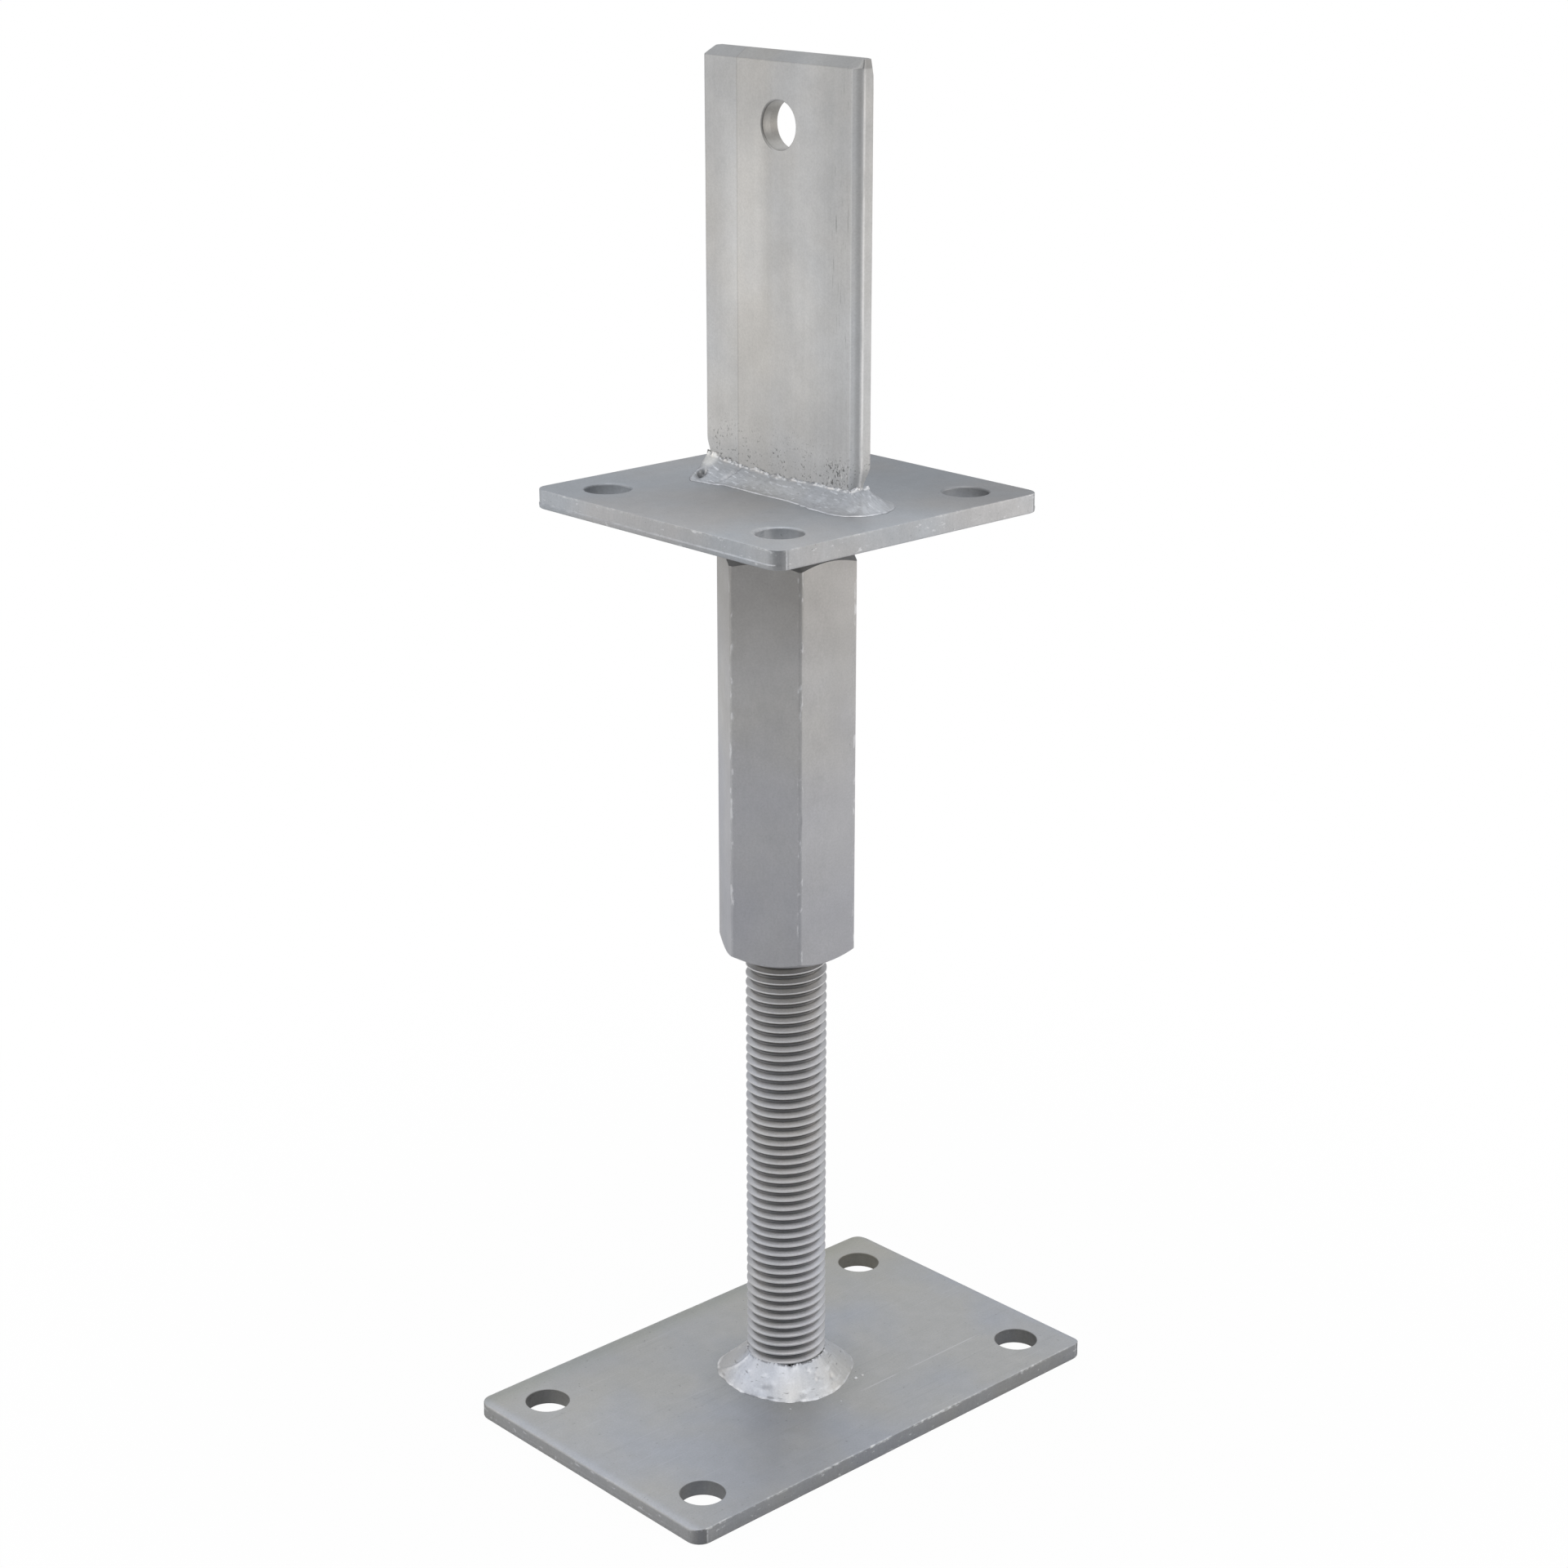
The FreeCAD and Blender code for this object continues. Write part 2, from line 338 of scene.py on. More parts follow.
HEAD_LIP_STEP = 0.32 * MM
HEAD_ROLL = 0.45 * MM
HEAD_HOLE_RIM = 0.8 * MM
PIN_SEAT_RADIUS = 7.05 * MM


def lipped_head(low, high):
    """Head plate with a lip and a rolled-under edge on two sides, and a hole for the swivel pin."""
    middle = (low.z + high.z) / 2

    def moved(point):
        point = sheared_side(point, low, high, HEAD_LIP_STEP, HEAD_ROLL, seed=7.0)
        if point.z > middle:
            point.z -= SURFACE_SWELL * (1 + wander(point, SURFACE_SWELL_SIZE, seed=4.0))
        return point

    plate = sheared_plate("head_plate_steel", low, high, HEAD_HOLE_RIM)
    carve(plate, bar("pin_seat", PIN_SEAT_RADIUS, low.z - CELL, high.z + CELL, BOLT_SIDES))
    reshape(plate, moved)
    smooth(plate)
    return plate


# Rolled thread of the rod

THREAD_PITCH = 3 * MM
THREAD_CREST = 11.83 * MM
THREAD_ROOT = 10.2 * MM
THREAD_STEPS = 48
THREAD_CUTS = 15
THREAD_CHAMFER = 2 * MM
THREAD_PHASE = 0.33
SPARE_TURNS = 2
THREAD_SMOOTH = math.radians(40)
CREST_HALF = 0.2 * MM
ROOT_HALF = 0.3 * MM


def thread_radius(share):
    """Radius at a share of one pitch: narrow root, straight flank, narrow crest, straight flank."""
    from_crest = abs(share - 0.5) * THREAD_PITCH
    flank = THREAD_PITCH / 2 - CREST_HALF - ROOT_HALF
    fall = min(max((from_crest - CREST_HALF) / flank, 0.0), 1.0)
    return THREAD_CREST + (THREAD_ROOT - THREAD_CREST) * fall


def rolled_thread(low, high):
    """Rod with a right-hand thread, screwed up from one pitch of its outline and cut to length."""
    rod = add_piece("threaded_rod_steel", bpy.ops.mesh.primitive_plane_add, size=THREAD_PITCH,
                    location=(0, 0, 0))
    edit(rod)
    pick(rod, 'VERT', lambda vertex: vertex.co.x < 0)
    bpy.ops.mesh.delete(type='VERT')
    bpy.ops.mesh.select_all(action='SELECT')
    bpy.ops.mesh.subdivide(number_cuts=THREAD_CUTS)
    close()
    start = low.z - (SPARE_TURNS + THREAD_PHASE) * THREAD_PITCH

    def on_outline(point):
        share = point.y / THREAD_PITCH + 0.5
        return Vector((thread_radius(share), 0, start + share * THREAD_PITCH))

    reshape(rod, on_outline)
    wind(rod, math.ceil((high.z - start) / THREAD_PITCH) + SPARE_TURNS)
    trim(rod, low.z, high.z)

    def chamfered(point):
        allowed = THREAD_CREST - max(0.0, point.z - (high.z - THREAD_CHAMFER))
        if point.xy.length > allowed:
            point.xy = point.xy.normalized() * allowed
        return point

    reshape(rod, chamfered)
    smooth(rod, THREAD_SMOOTH)
    return rod


def wind(rod, turns):
    """Screws the outline up the rod, one pitch a turn."""
    modify(rod, 'SCREW', axis='Z', angle=2 * math.pi, screw_offset=THREAD_PITCH, iterations=turns,
           steps=THREAD_STEPS, render_steps=THREAD_STEPS, use_merge_vertices=True, merge_threshold=TINY)
    weld_points(rod)


def trim(rod, bottom, top):
    """Cuts the rod off square at both ends and closes it."""
    edit(rod)
    slice_off((0, 0, bottom), (0, 0, -1))
    slice_off((0, 0, top), (0, 0, 1))
    close()


# Hexagon sleeve

SLEEVE_FLATS = 36 * MM
SLEEVE_CORNER = SLEEVE_FLATS / math.sqrt(3)
SLEEVE_TURN = math.radians(-2)
SLEEVE_END_SHARE = 0.93
SLEEVE_CHAMFER = math.radians(30)
SLEEVE_MARGIN = 1 * MM
SLEEVE_BORE = 12.05 * MM
SLEEVE_NECK = 7.05 * MM
SLEEVE_NECK_LENGTH = 10 * MM
SLEEVE_MOUTH = 1.2 * MM
SLEEVE_EDGE = 0.7 * MM
SLEEVE_EDGE_STEPS = 3
SLEEVE_SMOOTH = math.radians(24)
SLEEVE_EDGE_START = math.hypot(SLEEVE_FLATS / 2, SLEEVE_CORNER / 2 - SLEEVE_EDGE)
TURNED_SIDES = 96
CHIP_STEP = 1.25 * MM
CHIP_DEPTH = 0.6 * MM
CHIP_SIZE = 3.2 * MM
CHIP_LEVEL = 0.28


def turned_envelope(low, high):
    """Round bar with chamfered ends that takes the hexagon's corners off."""
    full = SLEEVE_CORNER + SLEEVE_MARGIN
    end = SLEEVE_END_SHARE * SLEEVE_FLATS / 2
    rise = (full - end) * math.tan(SLEEVE_CHAMFER)
    envelope = bar("envelope", full, low.z + rise, high.z - rise, TURNED_SIDES)
    edit(envelope)
    for level, way in ((high.z - rise, 1), (low.z + rise, -1)):
        pick(envelope, 'FACE', lambda face: abs(face.calc_center_median().z - level) < TINY)
        bpy.ops.mesh.extrude_region_move(TRANSFORM_OT_translate={"value": (0, 0, way * rise)})
        tip = (0, 0, level + way * rise)
        bpy.ops.transform.resize(value=(end / full, end / full, 1), center_override=tip)
    close()
    return envelope


def chipped(point):
    """Knocks small dents into the sleeve's upright edges, and leaves its flats level."""
    if point.xy.length > SLEEVE_EDGE_START + 4 * TINY:
        depth = CHIP_DEPTH * max(0.0, wander(point, CHIP_SIZE, seed=2.0) - CHIP_LEVEL)
        point.xy -= point.xy.normalized() * depth
    return point


def hexagon_sleeve(low, high):
    """Hexagon bar with turned ends, bored for the rod and necked for the swivel pin."""
    sleeve = bar("hex_sleeve_steel", SLEEVE_CORNER, low.z, high.z, 6, turn=SLEEVE_TURN)
    edit(sleeve)
    round_edges(sleeve, is_upright, SLEEVE_EDGE, SLEEVE_EDGE_STEPS)
    steps = int((high.z - low.z) / CHIP_STEP)
    cut_across("z", [low.z + step * CHIP_STEP for step in range(1, steps)])
    close()
    reshape(sleeve, chipped)
    carve(sleeve, turned_envelope(low, high), 'INTERSECT')
    neck_bottom = high.z - SLEEVE_NECK_LENGTH
    carve(sleeve, bar("bore", SLEEVE_BORE, low.z - CELL, neck_bottom, TURNED_SIDES))
    carve(sleeve, bar("neck", SLEEVE_NECK, neck_bottom - CELL, high.z + CELL, TURNED_SIDES))
    edit(sleeve)
    round_edges(sleeve, lambda edge: on_round(edge, (0, 0), SLEEVE_BORE, low.z), SLEEVE_MOUTH, 1)
    close()
    smooth(sleeve, SLEEVE_SMOOTH)
    return sleeve


# Blade

BLADE_RIM = 0.25 * MM
BLADE_RIM_STEPS = 2
BLADE_SWELL_SIZE = 30 * MM
BLADE_BEVEL_RISE = 2.3 * MM
BLADE_BEVEL_DEPTH = 3.6 * MM
BLADE_CORNER_DROP = 2.2 * MM
BLADE_CORNER_WIDTH = 1.3 * MM
BLADE_HOLE_RADIUS = 6.5 * MM
BLADE_HOLE_DROP = 19 * MM
BLADE_HOLE_RIM = 0.5 * MM
BLADE_RIGHT_ROLL = (2.4 * MM, 2.2 * MM)
BLADE_LEFT_ROLL = (1.0 * MM, 0.5 * MM)
BLADE_ROLL_CELLS = (0.3 * MM, 0.5 * MM, 0.75 * MM, 1.0 * MM, 1.4 * MM, 1.9 * MM, 2.4 * MM)
BLADE_ROLL_POWER = 1.8
MELT_LEVELS = (5 * MM, 6 * MM, 7 * MM, 8 * MM, 9 * MM, 10.5 * MM, 12 * MM, 14 * MM)
MELT_START = 5 * MM
MELT_HEIGHT = 6 * MM
MELT_WIDTH = 6 * MM
MELT_LEFT = 1.7 * MM
MELT_RIGHT = 0.7 * MM
MELT_BACK = 1.9 * MM
HOOK_DEPTH = 0.9 * MM
HOOK_LENGTH = 5 * MM


def flat_bar_blade(low, high):
    """Flat bar with a pressed-over front, a bevelled top, a dowel hole and a foot melted by the weld."""
    blade = block("blade_steel", low, high)
    edit(blade)
    slice_off((low.x, 0, high.z - BLADE_BEVEL_RISE), (-BLADE_BEVEL_RISE, 0, BLADE_BEVEL_DEPTH))
    slice_off((0, high.y, high.z - BLADE_CORNER_DROP), (0, BLADE_CORNER_DROP, BLADE_CORNER_WIDTH))
    round_edges(blade, lambda edge: edge.calc_face_angle(0) > SHARP_ABOVE and not at_level(edge, low.z),
                BLADE_RIM, BLADE_RIM_STEPS)
    hole_level = high.z - BLADE_HOLE_DROP
    for inset in BLADE_ROLL_CELLS:
        cut_across("y", (low.y + inset, high.y - inset))
    cut_across("y", clear_steps(low.y, high.y, 0.0))
    cut_across("z", clear_steps(low.z, high.z, hole_level))
    cut_across("z", [low.z + level for level in MELT_LEVELS])
    close()
    drill_blade(blade, hole_level, low.x, high.x)

    def pressed(point):
        end = min(point.y - low.y, high.y - point.y)
        foot = 1 - ease((point.z - low.z - MELT_START) / MELT_HEIGHT)
        if point.x < 0:
            width, depth = BLADE_LEFT_ROLL if point.y > 0 else BLADE_RIGHT_ROLL
            point.x += depth * max(0.0, 1 - end / width) ** BLADE_ROLL_POWER
            point.x += SURFACE_SWELL * (1 + wander(point, BLADE_SWELL_SIZE, seed=9.0))
        elif point.y < 0:
            hook = ease(1 - (high.z - point.z) / HOOK_LENGTH)
            point.x -= (MELT_BACK * foot + HOOK_DEPTH * hook) * (1 - ease(end / BLADE_RIGHT_ROLL[0]))
        melt = MELT_LEFT if point.y > 0 else -MELT_RIGHT
        point.y -= melt * foot * (1 - ease(end / MELT_WIDTH))
        return point

    reshape(blade, pressed)
    smooth(blade)
    return blade


def clear_steps(start, stop, hole):
    """Places every few millimetres between two ends, but not through the hole."""
    count = int((stop - start) / CELL)
    places = [start + (step + 0.5) * CELL for step in range(count)]
    return [place for place in places if abs(place - hole) > CLEAR_OF_BOLT]


def drill_blade(blade, level, front, back):
    """Dowel hole along X with rounded rims."""
    drill = add_piece("dowel_drill", bpy.ops.mesh.primitive_cylinder_add, vertices=BOLT_SIDES,
                      radius=BLADE_HOLE_RADIUS, depth=4 * (back - front), location=(0, 0, level),
                      rotation=(0, math.pi / 2, 0))
    carve(blade, drill)

    def on_rim(edge):
        for vertex in edge.verts:
            away = math.hypot(vertex.co.y, vertex.co.z - level)
            if abs(away - BLADE_HOLE_RADIUS) > TINY:
                return False
        return abs(edge.verts[0].co.x - edge.verts[1].co.x) < TINY

    edit(blade)
    round_edges(blade, on_rim, BLADE_HOLE_RIM, HOLE_RIM_STEPS)
    close()


# Weld beads

BEAD_SECTION = 40
FACE_SHARE = 0.7
TOE_START = 0.9
TOE_REACH = 0.97
TOE_EDGE = 0.3 * MM
LIFT_SHARE = 0.7
EDGE_FADE = 7
LUMP_SIZE = 6 * MM
RING_WALL = 0.25
BEAD_SMOOTH = math.radians(60)
DROP_DETAIL = 3
DROP_SQUASH = 0.6
DROP_WOBBLE = 0.2
DROP_SEEDS = (21.0, 22.0, 23.0)


def bead_ring(name, steps):
    """Plain ring whose rounds and section are then shaped into a bead."""
    return add_piece(name, bpy.ops.mesh.primitive_torus_add, major_segments=steps,
                     minor_segments=BEAD_SECTION, major_radius=1, minor_radius=RING_WALL)


def ring_shares(point):
    """Share of the way round the ring, and share of the way round its section from its top outwards."""
    around = math.atan2(point.y, point.x) % (2 * math.pi)
    across = math.atan2(point.xy.length - 1, point.z) % (2 * math.pi)
    return around / (2 * math.pi), across / (2 * math.pi)


def bead_section(share, leg_up, leg_out, hollow, buried):
    """Reach, height and share of the way down the face at a share of the way round a bead's section.

    The face falls from the upper toe to a blunt lower toe. Then come the flat foot and the buried side.
    """
    if share < FACE_SHARE:
        down = share / FACE_SHARE
        slope = min(down / TOE_START, 1.0)
        blunt = ease((down - TOE_START) / (1 - TOE_START))
        height = TOE_EDGE + (leg_up - TOE_EDGE) * (1 - slope) ** (1 + hollow)
        return leg_out * (TOE_REACH * slope + (1 - TOE_REACH) * blunt), height * (1 - blunt), down
    back = (share - FACE_SHARE) / (1 - FACE_SHARE)
    if back < 0.5:
        return leg_out + (buried - leg_out) * back * 2, 0.0, 1.0
    return buried, leg_up * (back - 0.5) * 2, 0.0


def dents(marks, along, down, face):
    """Depth of the pits, less that of the drops, at a distance along a bead and down its face."""
    depth = 0.0
    for mark_along, mark_down, size, deep in marks:
        away = math.hypot(along - mark_along, (down - mark_down) * face)
        depth += deep * math.exp(-(away / size) ** 2)
    return depth


def lumpy(point, level, size):
    """Moves a point of a drop, which lies squashed on the plate at a level and is a little uneven."""
    squashed = Vector((point.x, point.y, level + DROP_SQUASH * (point.z - level)))
    return squashed + DROP_WOBBLE * size * Vector([wander(point, size, seed) for seed in DROP_SEEDS])


def add_drops(bead, drops):
    """Adds small drops of weld metal that stuck to the plate beside a bead."""
    for x, y, z, size in drops:
        drop = add_piece("drop", bpy.ops.mesh.primitive_ico_sphere_add, subdivisions=DROP_DETAIL,
                         radius=size, location=(x, y, z))
        reshape(drop, lambda point: lumpy(point, z, size))
        take(bead)
        drop.select_set(True)
        bpy.ops.object.join()


# Weld bead round the rod's foot. Angles are in degrees from +X.

ROD_BEAD_STEPS = 320
ROD_BEAD_TRACK = 16 * MM
ROD_BEAD_HEIGHT = 8.2 * MM
ROD_BEAD_HOLLOW = -0.06
ROD_BEAD_BURIED = -2.2 * MM
ROD_BEAD_FACE = 11.5 * MM
ROD_TOE = ((20, 20.4 * MM), (75, 19.6 * MM), (128, 21.2 * MM), (174, 19.5 * MM), (202, 19.4 * MM),
           (246, 20.6 * MM), (296, 19.5 * MM), (342, 21.4 * MM))
ROD_TOE_WANDER, ROD_TOE_WANDER_SIZE = 0.4 * MM, 1.9 * MM
ROD_TOP_WANDER, ROD_TOP_WANDER_SIZE = 0.25 * MM, 1.7 * MM
ROD_TOP_SWELL = 0.35 * MM
ROD_LUMP = 0.12 * MM
ROD_RIPPLE = 0.015 * MM
ROD_RIPPLE_COUNT = 50
ROD_RIPPLE_BEND = 3
ROD_START, ROD_START_FADE = 60, 40
ROD_STOP = 160
ROD_STOP_SWEEP = 26
ROD_STOP_WIDTH = 2.2
ROD_STOP_STEP, ROD_STOP_FADE = 0.35 * MM, 3
ROD_RIDGE, ROD_RIDGE_FADE = 0.22 * MM, 4
ROD_RIDGE_AHEAD = 0.5
ROD_VOID = 233
ROD_VOID_WIDTH = 10
ROD_VOID_DEPTH = 0.45 * MM
# Length along the bead for each degree
DEGREE = math.radians(1) * ROD_BEAD_TRACK
ROD_MARKS = ((205 * DEGREE, 0.72, 1.1 * MM, 0.32 * MM), (263 * DEGREE, 0.53, 0.8 * MM, 0.4 * MM),
             (281 * DEGREE, 0.63, 0.7 * MM, 0.38 * MM), (254 * DEGREE, 0.21, 0.7 * MM, 0.35 * MM),
             (183 * DEGREE, 0.48, 0.9 * MM, 0.25 * MM), (243 * DEGREE, 0.86, 0.9 * MM, 0.25 * MM),
             (210 * DEGREE, 0.55, 1.2 * MM, -0.28 * MM), (262 * DEGREE, 0.30, 1.0 * MM, -0.3 * MM))
ROD_DROPS = ((11.6 * MM, -18.6 * MM, 5 * MM, 0.6 * MM), (14.4 * MM, -18.6 * MM, 5 * MM, 0.45 * MM),
             (-15.4 * MM, -18.4 * MM, 5 * MM, 0.35 * MM), (-1.2 * MM, -25.4 * MM, 5 * MM, 0.35 * MM))


def rod_relief(angle, down, track):
    """How far the face of the rod's bead stands proud: ripples, lumps, pits and the step at its stop."""
    belly = math.sin(math.pi * down)
    ahead = (angle - ROD_STOP + ROD_STOP_SWEEP * down ** 2) / ROD_STOP_WIDTH
    behind = ease(-ahead) * ease((angle - ROD_START) / ROD_START_FADE)
    lump = wander(track + AXES["z"] * down * LUMP_SIZE, LUMP_SIZE, seed=6.0)
    ripple = math.sin(math.radians(angle) * ROD_RIPPLE_COUNT + ROD_RIPPLE_BEND * belly)
    lift = belly * (ROD_LUMP * lump + ROD_RIPPLE * ripple)
    lift -= ROD_STOP_STEP * behind * min(1.0, ROD_STOP_FADE * belly)
    lift += ROD_RIDGE * math.exp(-(ahead - ROD_RIDGE_AHEAD) ** 2) * min(1.0, ROD_RIDGE_FADE * belly)
    return lift - dents(ROD_MARKS, angle * DEGREE, down, ROD_BEAD_FACE)


def rod_bead(low):
    """Fillet bead round the rod's foot, welded over its own start."""
    bead = bead_ring("rod_weld_bead", ROD_BEAD_STEPS)

    def laid(point):
        around, across = ring_shares(point)
        angle = 360 * around
        compass = Vector((math.cos(math.radians(angle)), math.sin(math.radians(angle)), 0))
        track = compass * ROD_BEAD_TRACK
        leg_out = between(ROD_TOE, angle, 360) - THREAD_CREST
        leg_up = ROD_BEAD_HEIGHT + ROD_TOP_SWELL * wander(track, LUMP_SIZE, seed=8.0)
        reach, height, down = bead_section(across, leg_up, leg_out, ROD_BEAD_HOLLOW, ROD_BEAD_BURIED)
        if 0 < down < 1:
            lift = LIFT_SHARE * rod_relief(angle, down, track)
            reach += lift
            height += lift
        reach += ROD_TOE_WANDER * wander(track, ROD_TOE_WANDER_SIZE, seed=5.0) * down ** EDGE_FADE
        void = ROD_VOID_DEPTH * ease(1 - abs(angle - ROD_VOID) / ROD_VOID_WIDTH)
        ragged = ROD_TOP_WANDER * wander(track, ROD_TOP_WANDER_SIZE, seed=9.0)
        height += (ragged - void) * (1 - down) ** EDGE_FADE
        spot = compass * (THREAD_CREST + reach)
        spot.z = low.z + max(height, 0.0)
        return spot

    reshape(bead, laid)
    weld_points(bead)
    add_drops(bead, ROD_DROPS)
    smooth(bead, BEAD_SMOOTH)
    return bead


# Weld bead round the blade's foot. Stations are shares of the way round, from the back of the right end.

BLADE_BEAD_STEPS = 420
BLADE_BEAD_CORNER = 4 * MM
BLADE_BEAD_INSET = 1.2 * MM
BLADE_BEAD_BURIED = -0.8 * MM
BLADE_BEAD_HOLLOW = 0.45
BLADE_BEAD_FACE = 8.5 * MM
BLADE_TOE = ((0.0, 7.2 * MM), (0.19, 6.8 * MM), (0.40, 6.0 * MM), (0.44, 6.2 * MM), (0.48, 4.9 * MM),
             (0.515, 9.0 * MM), (0.564, 8.0 * MM), (0.594, 6.4 * MM), (0.69, 6.8 * MM), (0.75, 6.6 * MM),
             (0.85, 8.6 * MM), (0.90, 9.4 * MM), (0.94, 10.0 * MM), (0.98, 7.6 * MM))
BLADE_LIP = ((0.0, 4.8 * MM), (0.19, 4.6 * MM), (0.40, 5.2 * MM), (0.44, 6.8 * MM), (0.48, 7.0 * MM),
             (0.52, 6.5 * MM), (0.55, 5.6 * MM), (0.60, 4.9 * MM), (0.69, 4.4 * MM), (0.80, 4.8 * MM),
             (0.88, 4.9 * MM), (0.94, 5.2 * MM))
BLADE_CREASES = ((0.594, 0.55 * MM), (0.602, -0.3 * MM), (0.925, 0.35 * MM), (0.936, -0.2 * MM))
BLADE_TOE_WANDER, BLADE_TOE_WANDER_SIZE = 0.4 * MM, 1.8 * MM
BLADE_TOP_WANDER, BLADE_TOP_WANDER_SIZE = 0.35 * MM, 2.4 * MM
BLADE_LUMP, BLADE_LUMP_STRETCH = 0.1 * MM, 5 * MM
BLADE_FLAKE, BLADE_FLAKE_SIZE, BLADE_FLAKE_FADE = 0.8 * MM, 2 * MM, 9
BLADE_PEAK = (-4 * MM, 27 * MM, 0)
BLADE_CRATER = (-8.2 * MM, 26.4 * MM, 0)
BLADE_CREASE_WIDTH = 0.0035
BLADE_CREASE_SLANT = -0.033
BLADE_ROUND = 152 * MM
FACE_ATTRIBUTE = "way_down_the_face"
HIDDEN_SHARE = 0.5
BLADE_MARKS = ((0.519 * BLADE_ROUND, 0.60, 1.2 * MM, 2.0 * MM),
               (0.510 * BLADE_ROUND, 0.68, 1.6 * MM, -0.9 * MM),
               (0.545 * BLADE_ROUND, 0.35, 0.8 * MM, 0.3 * MM),
               (0.66 * BLADE_ROUND, 0.45, 0.9 * MM, 0.18 * MM),
               (0.83 * BLADE_ROUND, 0.55, 1 * MM, 0.25 * MM),
               (0.91 * BLADE_ROUND, 0.5, 1.3 * MM, -0.3 * MM))


def foot_track(share, half_thick, half_wide):
    """Point on the blade's outline, and the way outwards there, at a share of the way round its foot."""
    corner = BLADE_BEAD_CORNER
    quarter = corner * math.pi / 2
    runs = (2 * half_wide, quarter, 2 * half_thick, quarter) * 2
    corners = ((1, -1), (1, 1), (-1, 1), (-1, -1))
    distance = share * sum(runs)
    for index, run in enumerate(runs):
        if distance <= run or index == len(runs) - 1:
            break
        distance -= run
    side = index // 2
    start = Vector((corners[side][0] * half_thick, corners[side][1] * half_wide, 0))
    turn = side * math.pi / 2
    if index % 2 == 0:
        along = Vector((-math.sin(turn), math.cos(turn), 0))
        return start + along * distance, Vector((math.cos(turn), math.sin(turn), 0))
    turn += distance / corner
    end = corners[(side + 1) % 4]
    return Vector((end[0] * half_thick, end[1] * half_wide, 0)), Vector((math.cos(turn), math.sin(turn), 0))


def blade_relief(around, down, track):
    """How far the face of the blade's bead stands proud: a lumpy upper lip, soft lumps, pits and a crease."""
    belly = math.sin(math.pi * down)
    lump = wander(track + AXES["z"] * down * BLADE_LUMP_STRETCH, LUMP_SIZE, seed=16.0)
    flake = BLADE_FLAKE * (0.5 + wander(track, BLADE_FLAKE_SIZE, seed=17.0))
    lift = belly * BLADE_LUMP * lump + flake * max(0.0, 1 - down * BLADE_FLAKE_FADE)
    for crease, depth in BLADE_CREASES:
        away = (around - crease - BLADE_CREASE_SLANT * down) / BLADE_CREASE_WIDTH
        lift -= belly * depth * math.exp(-away ** 2)
    return lift - dents(BLADE_MARKS, around * BLADE_ROUND, down, BLADE_BEAD_FACE)


def blade_bead(low, blade_high):
    """Bead all round the blade's foot, with a flared tail and a crater where the arc stopped."""
    bead = bead_ring("blade_weld_bead", BLADE_BEAD_STEPS)
    half_wide = blade_high.y - BLADE_BEAD_INSET

    def laid(point):
        around, across = ring_shares(point)
        foot, outwards = foot_track(around, blade_high.x, half_wide)
        track = foot + outwards * BLADE_BEAD_CORNER
        leg_out = between(BLADE_TOE, around, 1)
        leg_up = between(BLADE_LIP, around, 1)
        reach, height, down = bead_section(across, leg_up, leg_out, BLADE_BEAD_HOLLOW, BLADE_BEAD_BURIED)
        if 0 < down < 1:
            lift = LIFT_SHARE * blade_relief(around, down, track)
            reach += lift
            height += lift
        reach += BLADE_TOE_WANDER * wander(track, BLADE_TOE_WANDER_SIZE, seed=13.0) * down ** EDGE_FADE
        height += BLADE_TOP_WANDER * wander(track, BLADE_TOP_WANDER_SIZE, seed=14.0) * (1 - down) ** EDGE_FADE
        spot = foot + outwards * reach
        spot.z = low.z + max(height, 0.0)
        return spot

    face = bead.data.attributes.new(FACE_ATTRIBUTE, 'FLOAT', 'POINT')
    for vertex in bead.data.vertices:
        share = ring_shares(vertex.co)[1] / FACE_SHARE
        face.data[vertex.index].value = share if share < 1 else HIDDEN_SHARE
    reshape(bead, laid)
    weld_points(bead)
    smooth(bead, BEAD_SMOOTH)
    return bead


# Materials. Sizes and places in them are in millimetres, and a socket knows the node tree that it belongs to.

MIX_A, MIX_B, MIX_RESULT = 6, 7, 2
METAL_SHARE = 0.75
DRIFT_SIZE = 38
MOTTLE_SIZE = 4.5
SHEEN_SIZE = 11
SHEEN_RANGE = 0.05
# The real frosty grain is finer, and is drawn this coarse to show in the render
GRAIN_SIZE = 0.55
GRAIN_RANGE = 0.065
GRAIN_BUMP = 0.3
GRAIN_RELIEF = 0.03
ALONG_DIAGONAL = (0, 0, math.radians(-45))


def linear(hex_colour):
    """Linear RGBA of an sRGB hex colour."""
    channels = [int(hex_colour[place:place + 2], 16) / 255 for place in (1, 3, 5)]
    return [c / 12.92 if c <= 0.04045 else ((c + 0.055) / 1.055) ** 2.4 for c in channels] + [1.0]


def add_node(owner, kind, inputs=None, output=0, **settings):
    """Adds a node with its settings and links to a tree, or a socket's tree, and gives one of its outputs."""
    tree = owner.id_data
    node = tree.nodes.new("ShaderNode" + kind)
    for name, value in settings.items():
        setattr(node, name, value)
    for socket, value in (inputs or {}).items():
        if isinstance(value, bpy.types.NodeSocket):
            tree.links.new(value, node.inputs[socket])
        else:
            node.inputs[socket].default_value = value
    return node.outputs[output]


def span(value, start, end, low=0.0, high=1.0, eased=False):
    """Takes a value from one range to another, straight or eased, and no further than its ends."""
    ranges = {"Value": value, "From Min": start, "From Max": end, "To Min": low, "To Max": high}
    return add_node(value, "MapRange", ranges, interpolation_type='SMOOTHSTEP' if eased else 'LINEAR')


